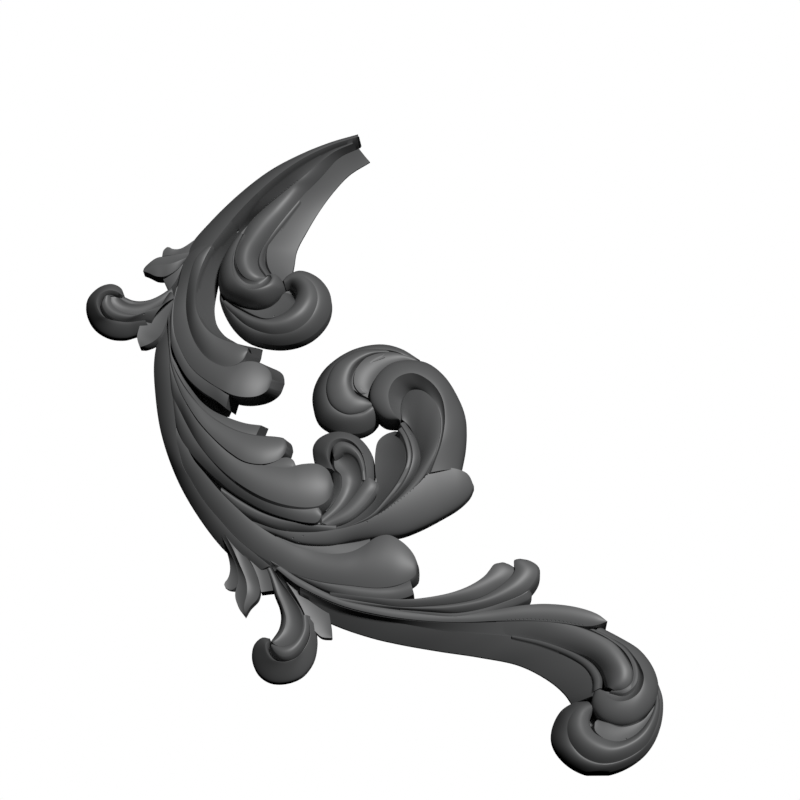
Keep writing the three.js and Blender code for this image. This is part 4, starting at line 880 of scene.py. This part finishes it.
@dataclass(frozen=True)
class BottomSprig(Carving):
    """The sprig of three leaves that hangs from the bottom of the crescent."""

    outer_leaf: Strake = Strake([
        ((212, 520, 12), (218, 531, 9), (225, 547, 6), (229, 560, 5), (230, 570, 5), (228, 578, 5),
         (224, 584, 5), (226, 588, 5), (230, 590, 5)),
        ((213, 520, 14), (222, 537, 14), (230, 552, 12), (236, 565, 10), (238, 578, 8), (237, 586, 7),
         (232, 590, 6))],
        [hollow(0.08)], Tuck.RIGHT)
    middle_leaf: Strake = Strake([
        ((214, 521, 14), (222, 537, 13), (230, 552, 11.5), (236, 565, 9.5), (238, 580, 8), (235, 595, 7),
         (238, 606, 7), (245, 616, 7)),
        ((220, 526, 17), (232, 547, 17), (240, 565, 15), (246, 580, 13), (247, 592, 12), (244, 606, 9),
         (245, 616, 8)),
        ((225, 532, 15), (235, 543, 16), (250, 562, 16), (257, 575, 15), (260, 588, 13), (258, 598, 12),
         (250, 607, 11), (245, 616, 10))],
        [hollow(0.08), hollow(0.08)], Tuck.NONE)
    inner_leaf: Strake = Strake([
        ((228, 532, 16), (243, 550, 16), (252, 564, 16), (258, 578, 15), (261, 592, 13)),
        ((240, 543, 18), (255, 555, 18), (265, 566, 17), (271, 578, 16), (275, 590, 14))],
        [hollow(0.05)], Tuck.NONE)


@dataclass(frozen=True)
class BottomScroll(Carving):
    """The scroll that hangs below the crescent and the pointed leaf beside it."""

    stem: Strake = Strake([
        ((260, 558, 16), (268, 575, 14), (274, 594, 12), (279, 607, 11), (281, 618, 11), (279, 629, 13),
         (274, 637, 17), (271, 641, 20)),
        ((264, 558, 18), (272, 575, 18), (278, 594, 18), (283, 607, 19), (286, 618, 20), (284, 629, 22),
         (279, 637, 23), (273, 642, 24)),
        ((270, 563, 20), (280, 580, 21), (290, 594, 22), (300, 610, 24), (303, 622, 25), (301, 633, 26),
         (293, 642.5, 27), (284, 646, 27), (277, 645.5, 26), (273, 643, 25))],
        [swell(0.3), hollow(0.12)], Tuck.RIGHT)
    inner_wall: Strake = Strake([
        under(((303, 615, 24), (303, 626, 25), (301, 633, 26), (293, 642.5, 27), (284, 646, 27),
         (277, 645.5, 26), (272, 644, 24))),
        ((307, 615, 22), (308, 628, 23), (306, 636, 24), (300, 648, 25), (290, 656, 26), (281, 656.5, 26),
         (274, 651, 25), (271, 645, 24))],
        [swell(0.25)])
    curl: Strake = Strake([
        ((308, 616, 20), (310, 634, 21), (305, 647, 24), (297, 657, 27), (285, 661.5, 29), (275, 660, 30),
         (268, 653, 30), (266, 645, 29), (269, 640, 26)),
        ((316, 626, 8), (317, 645, 7), (313, 662, 7), (302, 676, 7), (286, 682.5, 7), (270, 682, 7),
         (258, 674, 7), (252, 660, 8), (254, 645, 10), (262, 637.5, 14), (270, 638.5, 18))],
        [rounded(0.15)], Tuck.LEFT)
    pocket: Strake = level(14,
        ((268, 642), (269, 654), (283, 661), (300, 655)),
        ((276, 642), (278, 650), (285, 655), (296, 650)))
    leaf: Strake = Strake([
        ((271, 562, 20), (285, 580, 20), (295, 595, 18), (303, 610, 16), (308, 622, 14), (315, 631, 12),
         (322, 637, 10), (331, 638, 9)),
        ((282, 566, 21), (297, 580, 20), (312, 594, 18), (323, 602, 16), (328, 610, 14), (331, 625, 11),
         (332, 637, 9))],
        [hollow(0.05)], Tuck.NONE)


@dataclass(frozen=True)
class LowerArm(Carving):
    """The arm that runs out to the right along the bottom, with three lobes and a pointed leaf."""

    band: Strake = Strake([
        ((270, 560, 22), (300, 588, 22), (330, 604, 22), (360, 614, 22), (400, 623, 22), (440, 630, 22),
         (480, 633.5, 22), (515, 637, 22), (545, 645, 23), (575, 658, 25), (590, 671, 27), (596, 684, 28),
         (592, 696, 27)),
        ((258, 572, 8), (290, 600, 6), (331, 623, 5), (370, 637, 4), (400, 644, 4), (440, 651, 4),
         (480, 657, 4), (520, 665.5, 4), (550, 681, 5), (565, 694, 6), (572, 704, 7))],
        [swell(0.03)], Tuck.LEFT)
    top_lobe: Strake = Strake([
        ((330, 592, 30), (370, 597, 34), (400, 599, 37), (419, 598, 38), (450, 592.5, 39), (470, 585, 39),
         (484, 576, 38), (490, 569, 37), (494, 564, 36), (502, 562, 35)),
        under(((330, 596, 28), (370, 602, 31), (400, 606, 33), (435, 605, 34), (460, 602, 34),
         (480, 597, 34), (497, 588, 34), (509, 578, 34), (514, 570, 33), (511, 565, 33), (503, 562, 34)))],
        [swell(0.1)], Tuck.RIGHT)
    middle_lobe: Strake = Strake([
        ((330, 596, 28), (370, 602.5, 31), (400, 606.5, 33), (435, 605.5, 35), (460, 602.5, 36),
         (480, 597.5, 36), (497, 588.5, 36), (509, 578.5, 35), (515, 570, 34), (514, 560, 33),
         (519, 558.5, 32)),
        ((330, 600, 27), (370, 606, 29), (400, 609, 31), (430, 611, 32), (455, 612, 32), (480, 608.5, 32),
         (503, 601.5, 32), (522, 593.5, 31), (531, 586, 31), (537, 576, 31), (537, 567, 31),
         (530, 560.5, 31), (521, 558.5, 32))],
        [swell(0.15)], Tuck.RIGHT, toe=(1, -3), toe_from=0.8)
    low_lobe: Strake = Strake([
        ((400, 609, 30), (430, 612, 31), (455, 613, 31), (480, 609, 31), (503, 602, 31), (522, 594, 30),
         (529, 589.5, 29)),
        ((400, 612, 29), (430, 616, 29), (455, 618, 29), (480, 616, 28), (503, 609.5, 27), (518, 605, 25),
         (530, 599, 23), (532, 594, 22))],
        [rounded(0.2)], Tuck.LEFT)
    leaf: Strake = Strake([
        ((280, 566, 26), (300, 579, 27), (340, 598, 28), (380, 606.5, 29), (420, 611, 29), (460, 613.5, 30),
         (490, 610.5, 31), (519, 605.5, 33), (545, 603.5, 34), (575, 606.5, 35), (597, 613.5, 35),
         (607.5, 621, 34)),
        ((276, 568, 26), (298, 585, 27), (340, 604.5, 28), (380, 614.5, 29), (420, 620, 29), (460, 622, 29),
         (500, 620.5, 30), (535, 620.5, 31), (560, 622.5, 32), (587, 626, 33), (598, 624.5, 34),
         (607.5, 621, 34))],
        [swell(0.12)], Tuck.NONE)
    slope: Strake = Strake([
        ((300, 588, 26), (340, 606, 28), (380, 616, 29), (420, 621, 29), (460, 623, 29), (500, 622, 29),
         (520, 622, 29)),
        ((300, 592, 22), (340, 610, 21), (380, 620, 21), (420, 627, 21), (460, 632, 21), (500, 635.5, 21),
         (520, 638, 21))],
        [hollow(0.1, 0)])


@dataclass(frozen=True)
class LowerVolute(Carving):
    """The volute at the end of the lower arm."""

    tube: Strake = Strake([
        ((496, 621.5, 28.5), (530, 621, 32), (550, 622, 34), (575, 626, 36), (597, 634, 38), (613, 643, 39),
         (625, 657, 40), (631, 670, 40), (630, 682, 39), (623, 688.5, 38), (614, 690, 36)),
        ((496, 635.2, 20.5), (512, 636.3, 21.3), (530, 638, 22), (545, 642, 23), (575, 652, 25),
         (592, 659, 28), (602, 669, 30), (606, 679, 32), (608, 687, 34))],
        [swell(0, 0.28)])
    rim: Strake = Strake([
        ((585, 627, 25), (608, 639, 30), (624, 652, 33), (632, 668, 35), (631, 682, 36), (622, 689, 36),
         (612, 690, 34)),
        ((588, 626, 24), (612, 638, 29), (629, 652, 32), (638, 668, 34), (637, 684, 35), (625, 694, 35),
         (610, 692, 33))],
        [rounded(0.3)])
    lip: Strake = Strake([
        ((512, 636, 23.5), (540, 641, 25), (575, 654, 28), (592, 665, 30), (600, 678, 31), (600, 688, 31)),
        ((512, 638, 22), (540, 645, 23), (570, 657, 25), (586, 668, 27), (593, 680, 28), (593, 692, 28))],
        [rounded(0.3)])
    roll: Strake = Strake([
        ((594, 632, 22), (613, 643, 30), (628, 656, 31), (636, 670, 32), (634, 686, 32), (622, 693, 32),
         (606, 691, 31)),
        ((596, 630, 24), (624, 645, 30), (634, 656, 34), (641, 667, 37), (644, 678, 39), (640, 691, 40),
         (630, 699, 40), (618, 701, 39), (608, 697, 36), (600, 689, 31)),
        ((600, 627, 18), (620, 638, 14), (640, 651, 12), (653, 668, 12), (658.5, 686, 14), (656, 700, 19),
         (648, 713, 22), (632, 724, 24), (614, 725, 24), (599, 718, 24), (591, 704, 23), (594, 692, 26))],
        [hollow(0.2), shoulder(0.9)], Tuck.LEFT)
    tongue: Strake = Strake([
        ((654, 706, 25), (643, 720, 28), (622, 727, 29), (608, 723, 28), (597, 720, 26)),
        ((659, 700, 22), (651, 718, 28), (636, 734, 30), (620, 741, 31), (604, 738, 31), (595, 730, 29),
         (595, 722, 27))],
        [hollow(0.06)])
    coils: Strake = Strake([
        ((655, 682, 13), (656, 700, 22), (650, 718, 29), (636, 734, 31), (620, 741, 32), (604, 738, 32),
         (592, 730, 30), (588, 720, 28), (591, 711, 25), (596, 707, 22)),
        ((656, 681, 12), (660, 704, 18), (657, 724, 22), (645, 746, 26), (622, 760, 28), (600, 763, 29),
         (581, 755, 29), (569, 739, 29), (568, 722, 29), (577, 708, 28), (587, 703.5, 25), (595, 705, 22)),
        ((656.5, 679, 11), (663, 700, 11), (660, 729, 12), (648, 750.5, 14), (630, 764.5, 16),
         (608, 772.5, 17), (588, 772.5, 17), (568, 763, 16), (554, 747.5, 13), (551, 733, 10),
         (560, 712, 9), (573, 703, 10), (583, 701, 12), (591, 702, 16), (596, 706, 20))],
        [swell(0.3), swell(0.22)], Tuck.LEFT)
    eye: Strake = level(10,
        ((586, 700), (586, 735)),
        ((604, 700), (602, 735)))


@dataclass(frozen=True)
class Bed(Carving):
    """The low bed that joins the forms behind the carving."""

    leaves: Strake = level(9,
        ((180, 290), (170, 330), (162, 380), (170, 440), (190, 490), (225, 540), (270, 572), (330, 600)),
        ((205, 300), (208, 340), (212, 390), (240, 440), (290, 480), (325, 510), (350, 535), (370, 580)))
    crescent: Strake = level(3,
        ((346, 152), (320, 163), (290, 182), (260, 206), (238, 232), (228, 256)),
        ((350, 160), (325, 180), (300, 206), (280, 232), (272, 252), (270, 280)))
    upper_volute: Strake = level(3,
        ((226, 286), (245, 282), (268, 276), (296, 280)),
        ((230, 318), (250, 328), (278, 330), (306, 312)))
    left_scroll: Strake = level(3,
        ((98, 300), (112, 298), (126, 302), (150, 306), (174, 296)),
        ((104, 326), (118, 328), (132, 328), (150, 326), (174, 318)))
    third_lobe: Strake = level(3,
        ((176, 350), (196, 372), (222, 388), (240, 392)),
        ((176, 380), (196, 404), (218, 416), (229, 416)))
    inner_scroll: Strake = level(3,
        ((326, 446), (325, 470), (326, 500), (325, 530)),
        ((345, 446), (352, 470), (368, 500), (395, 522)))
    middle_volute: Strake = level(3,
        ((345, 385), (375, 360), (400, 352)),
        ((352, 416), (382, 412), (410, 372)))
    ribs: Strake = level(3,
        ((396, 440), (398, 470), (390, 505)),
        ((428, 440), (426, 470), (425, 505)))
    bottom_scroll: Strake = level(3,
        ((256, 562), (275, 590), (282, 615), (278, 640), (268, 658)),
        ((275, 566), (310, 595), (312, 620), (306, 645), (292, 668)))
    arm_root: Strake = level(3,
        ((320, 588), (350, 550), (370, 550)),
        ((325, 612), (350, 612), (378, 612)))
    lower_volute: Strake = level(3,
        ((560, 628), (600, 634), (634, 660), (656, 700)),
        ((570, 652), (584, 680), (590, 712), (640, 740)))


CARVINGS = (Crescent, UpperVolute, LeftSprig, LeftScroll, UpperLobes, MiddleLobes, LowerLobes,
            InnerScroll, UprightLeaf, MiddleVolute, LowerLeaves, BottomSprig, BottomScroll, LowerArm,
            LowerVolute, Bed)


@dataclass(frozen=True)
class CharcoalResin:
    """Charcoal cast resin with a satin skin: a fine grain and a slight cloudiness in its colour."""

    deep: Colour = (0.088, 0.089, 0.090)
    pale: Colour = (0.096, 0.097, 0.098)
    roughness_low: float = 0.49
    roughness_high: float = 0.54
    cloud_scale: float = 26.0
    cloud_detail: float = 6.0
    grain_scale: float = 2600.0
    grain_detail: float = 3.0
    grain_height: float = 0.02 * MILLIMETRE
    grain_strength: float = 0.15

    def material(self) -> bpy.types.Material:
        """Builds the material.

        Returns:
            The material, with its colour, roughness and grain worked out from noise.
        """
        made = bpy.data.materials.new("charcoal_resin")
        made.use_nodes = True
        nodes = made.node_tree.nodes
        link = made.node_tree.links.new
        shader = nodes["Principled BSDF"]
        place = nodes.new("ShaderNodeTexCoord")
        cloud = nodes.new("ShaderNodeTexNoise")
        cloud.inputs["Scale"].default_value = self.cloud_scale
        cloud.inputs["Detail"].default_value = self.cloud_detail
        tint = nodes.new("ShaderNodeMix")
        tint.data_type = "RGBA"
        tint.inputs["A"].default_value = (*self.deep, 1.0)
        tint.inputs["B"].default_value = (*self.pale, 1.0)
        satin = nodes.new("ShaderNodeMapRange")
        satin.inputs["To Min"].default_value = self.roughness_low
        satin.inputs["To Max"].default_value = self.roughness_high
        grain = nodes.new("ShaderNodeTexNoise")
        grain.inputs["Scale"].default_value = self.grain_scale
        grain.inputs["Detail"].default_value = self.grain_detail
        bump = nodes.new("ShaderNodeBump")
        bump.inputs["Strength"].default_value = self.grain_strength
        bump.inputs["Distance"].default_value = self.grain_height
        link(place.outputs["Object"], cloud.inputs["Vector"])
        link(place.outputs["Object"], grain.inputs["Vector"])
        link(cloud.outputs["Fac"], tint.inputs["Factor"])
        link(cloud.outputs["Fac"], satin.inputs["Value"])
        link(grain.outputs["Fac"], bump.inputs["Height"])
        link(tint.outputs["Result"], shader.inputs["Base Color"])
        link(satin.outputs["Result"], shader.inputs["Roughness"])
        link(bump.outputs["Normal"], shader.inputs["Normal"])
        return made


@dataclass(frozen=True)
class Wear:
    """The casting's small faults: pits, chips, notched seams and a drip.

    A spot is drawn across and down, with its radius in millimetres. All lie on the seen surface.
    """

    hollows: tuple[Spot, ...] = (
        (274, 316, 0.45), (144, 314, 0.4), (187, 405, 0.5), (363, 454, 0.45), (367, 522, 0.4),
        (626, 739, 0.5), (411, 435, 0.5), (288, 531, 0.35), (293, 538, 0.4), (299, 542, 0.35),
        (303, 536, 0.35), (238, 231, 0.9), (449, 517.5, 1.0), (441, 522, 0.8), (434, 525, 0.7),
        (420, 532.5, 1.0))
    drips: tuple[Spot, ...] = ((318.5, 524, 0.9),)
    seams: tuple[Line, ...] = (
        ((507, 620), (530, 619), (560, 621), (586, 626)),
        ((378, 515), (396, 503), (414, 488), (432, 470)),
        ((297, 181), (273, 199), (250, 222)))
    seam_step: float = 4.0
    seam_radius: float = 0.3
    rings: int = 6
    spokes: int = 8

    def _seam_spots(self) -> list[Spot]:
        """Divides the seams into evenly spaced spots.

        Returns:
            The spots of all the seams.
        """
        spots = []
        for seam in self.seams:
            line = np.array(seam, dtype=float)
            travelled = np.concatenate([[0.0], np.cumsum(np.hypot(*np.diff(line, axis=0).T))])
            stops = np.arange(0.0, travelled[-1], self.seam_step)
            across, down = (np.interp(stops, travelled, line[:, axis]) for axis in range(2))
            spots += [(x, y, self.seam_radius) for x, y in zip(across, down)]
        return spots

    def _ball(self, centre: Vector, radius: float, weld: float) -> tuple[np.ndarray, np.ndarray]:
        """Makes a small ball.

        Args:
            centre: Its middle in metres.
            radius: Its radius in metres.
            weld: The distance under which corners count as one.

        Returns:
            Its corners, one a row, and the triangles that join them.
        """
        rise = np.linspace(0.0, math.pi, self.rings)[:, None]
        turn = np.arange(self.spokes)[None] * (2.0 * math.pi / self.spokes)
        ring = np.stack([np.sin(rise) * np.cos(turn), np.sin(rise) * np.sin(turn),
                         np.cos(rise) * np.ones_like(turn)], axis=2)
        return closed_loft(np.array(centre) + radius * ring, weld)

    def _balls(
        self, name: str, spots: list[Spot], seen: BVHTree, drawing: Drawing, weld: float
    ) -> bpy.types.Object:
        """Makes a ball at each spot of the seen surface.

        Args:
            name: The name of the object that holds them.
            spots: The spots.
            seen: The onlay's surface.
            drawing: The drawing that the spots are placed on.
            weld: The distance under which corners count as one.

        Returns:
            The balls as one object.
        """
        corners, triangles, count = [], [], 0
        for across, down, radius in spots:
            hit = seen.ray_cast(drawing.eye(), Vector(drawing.sight_line(across, down)))[0]
            if hit is None:
                continue
            ball, sides = self._ball(hit, radius * MILLIMETRE, weld)
            corners.append(ball)
            triangles.append(sides + count)
            count += len(ball)
        return mesh_object(name, np.concatenate(corners), np.concatenate(triangles))

    def mark(self, whole: bpy.types.Object, drawing: Drawing, cut: Cut) -> None:
        """Cuts the pits, chips and notches and adds the drip.

        Args:
            whole: The onlay, which is changed.
            drawing: The drawing that the spots are placed on.
            cut: How finely the forms are cut.
        """
        corners = [corner.co for corner in whole.data.vertices]
        seen = BVHTree.FromPolygons(corners, [face.vertices for face in whole.data.polygons])
        hollow_spots = [*self.hollows, *self._seam_spots()]
        hollows = self._balls("hollows", hollow_spots, seen, drawing, cut.weld)
        drips = self._balls("drips", list(self.drips), seen, drawing, cut.weld)
        combine(whole, hollows, Operation.CUT)
        combine(whole, drips, Operation.JOIN)
        LOG.info("wear: %d faces", len(whole.data.polygons))


@dataclass(frozen=True)
class AcanthusScroll:
    """The whole onlay, joined from its carved groups, with a flat back."""

    name: str = "acanthus_relief"
    planed_depth: float = 4.0 * MILLIMETRE
    planed_span: float = 600.0 * MILLIMETRE
    sharp_over: float = math.radians(33.0)
    finish: CharcoalResin = CharcoalResin()
    wear: Wear = Wear()

    def build(self, drawing: Drawing, cut: Cut) -> bpy.types.Object:
        """Joins the carved groups, planes the back flat and marks the wear.

        Args:
            drawing: The drawing that the rails are laid out on.
            cut: How finely the forms are cut.

        Returns:
            The onlay as one object.
        """
        groups = [group().build(drawing, cut) for group in CARVINGS]
        whole = groups[0]
        for group in groups[1:]:
            combine(whole, group, Operation.JOIN)
        combine(whole, self._planed(cut), Operation.CUT)
        self.wear.mark(whole, drawing, cut)
        self._fit_frame(whole)
        whole.name = self.name
        whole.data.name = self.name
        LOG.info("%s: %d faces", self.name, len(whole.data.polygons))
        return whole

    def _planed(self, cut: Cut) -> bpy.types.Object:
        """Makes the block that is planed off behind the back.

        Args:
            cut: How finely the forms are cut.

        Returns:
            The block, which starts at the plane of the back.
        """
        half = self.planed_span / 2.0
        low = np.array([-half, 0.0, -half])
        high = np.array([half, self.planed_depth, half])
        square = ((0, 0), (1, 0), (1, 1), (0, 1))
        ring = np.array([[(x, y, z) for y, z in square] for x in (0, 1)], float)
        return mesh_object("planed", *closed_loft(low + ring * (high - low), cut.weld))

    def _fit_frame(self, whole: bpy.types.Object) -> None:
        """Keeps the carving inside the room that the frame gives it.

        Args:
            whole: The onlay, which is changed.
        """
        corners = np.empty(len(whole.data.vertices) * 3)
        whole.data.vertices.foreach_get("co", corners)
        corners = corners.reshape(-1, 3)
        fitted = np.clip(corners, np.array(CAD_LOW), np.array(CAD_HIGH))
        LOG.info("furthest fit: %.3f mm", np.abs(fitted - corners).max() / MILLIMETRE)
        whole.data.vertices.foreach_set("co", fitted.ravel())
        whole.data.update()

    def dress(self, whole: bpy.types.Object) -> None:
        """Gives the onlay its finish, with crisp creases between smooth forms.

        Args:
            whole: The onlay, which is changed.
        """
        whole.data.materials.clear()
        whole.data.materials.append(self.finish.material())
        whole.data.shade_smooth()
        whole.data.set_sharp_from_angle(angle=self.sharp_over)
        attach(whole, "root")
        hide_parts("acanthus_scroll")


@dataclass(frozen=True)
class Lamp:
    """A distant soft lamp."""

    name: str
    towards: Point
    strength: float
    softness: float

    def build(self) -> None:
        """Places and aims the lamp."""
        data = bpy.data.lights.new(self.name, "SUN")
        data.energy = self.strength
        data.angle = self.softness
        made = linked_object(self.name, data)
        made.location = Vector(self.towards)
        made.rotation_mode = "QUATERNION"
        made.rotation_quaternion = made.location.to_track_quat("Z", "Y")
        LOG.info("lamp %s", self.name)


@dataclass(frozen=True)
class Studio:
    """A pale floor, a soft lamp, a white surround and the camera."""

    lens: float = 99.0
    sensor: float = 36.0
    floor_drop: float = 0.5
    floor_span: float = 6.0
    floor_colour: Colour = (0.86, 0.86, 0.86)
    floor_roughness: float = 0.9
    surround_colour: Colour = (1.0, 1.0, 1.0)
    surround_seen: float = 1.0
    surround_light: float = 0.0
    lamp: Lamp = Lamp(
        "key", towards=(0.372, -0.902, 0.207), strength=3.8, softness=math.radians(8.0)
    )

    def build(self, drawing: Drawing) -> None:
        """Builds the studio round the onlay.

        Args:
            drawing: The drawing, whose viewer stands where the camera does.
        """
        self.lamp.build()
        self._floor()
        self._surround()
        self._camera(drawing)
        bpy.context.scene.view_settings.view_transform = "Standard"

    def _floor(self) -> None:
        """Lays the floor below the onlay."""
        half = self.floor_span / 2.0
        height = CAD_LOW.z - self.floor_drop
        square = ((-half, -half), (half, -half), (half, half), (-half, half))
        corners = np.array([(x, y, height) for x, y in square])
        floor = mesh_object("floor", corners, np.array([(0, 1, 2), (0, 2, 3)]))
        made = bpy.data.materials.new("pale_floor")
        made.use_nodes = True
        shader = made.node_tree.nodes["Principled BSDF"]
        shader.inputs["Base Color"].default_value = (*self.floor_colour, 1.0)
        shader.inputs["Roughness"].default_value = self.floor_roughness
        floor.data.materials.append(made)
        floor.visible_diffuse = False
        floor.visible_glossy = False

    def _surround(self) -> None:
        """Makes the surround white to the camera and dark as a light."""
        world = bpy.data.worlds.new("surround")
        bpy.context.scene.world = world
        world.use_nodes = True
        nodes = world.node_tree.nodes
        link = world.node_tree.links.new
        seen = nodes["Background"]
        light = nodes.new("ShaderNodeBackground")
        for shader, strength in ((seen, self.surround_seen), (light, self.surround_light)):
            shader.inputs["Color"].default_value = (*self.surround_colour, 1.0)
            shader.inputs["Strength"].default_value = strength
        path = nodes.new("ShaderNodeLightPath")
        choice = nodes.new("ShaderNodeMixShader")
        link(path.outputs["Is Camera Ray"], choice.inputs["Fac"])
        link(light.outputs["Background"], choice.inputs[1])
        link(seen.outputs["Background"], choice.inputs[2])
        link(choice.outputs["Shader"], nodes["World Output"].inputs["Surface"])

    def _camera(self, drawing: Drawing) -> None:
        """Sets the camera where the drawing's viewer stands.

        Args:
            drawing: The drawing.
        """
        data = bpy.data.cameras.new("camera")
        data.lens = self.lens
        data.sensor_width = self.sensor
        made = linked_object("camera", data)
        turn = Matrix((drawing.right, drawing.up, -drawing.sight)).transposed()
        made.matrix_world = Matrix.Translation(drawing.eye()) @ turn.to_4x4()
        bpy.context.scene.camera = made


def main() -> None:
    """Builds the onlay, dresses it and sets up its studio."""
    logging.basicConfig(level=logging.INFO, format="%(name)s: %(message)s")
    drawing = Drawing()
    onlay = AcanthusScroll()
    onlay.dress(onlay.build(drawing, Cut()))
    Studio().build(drawing)


if __name__ == "__main__":
    main()
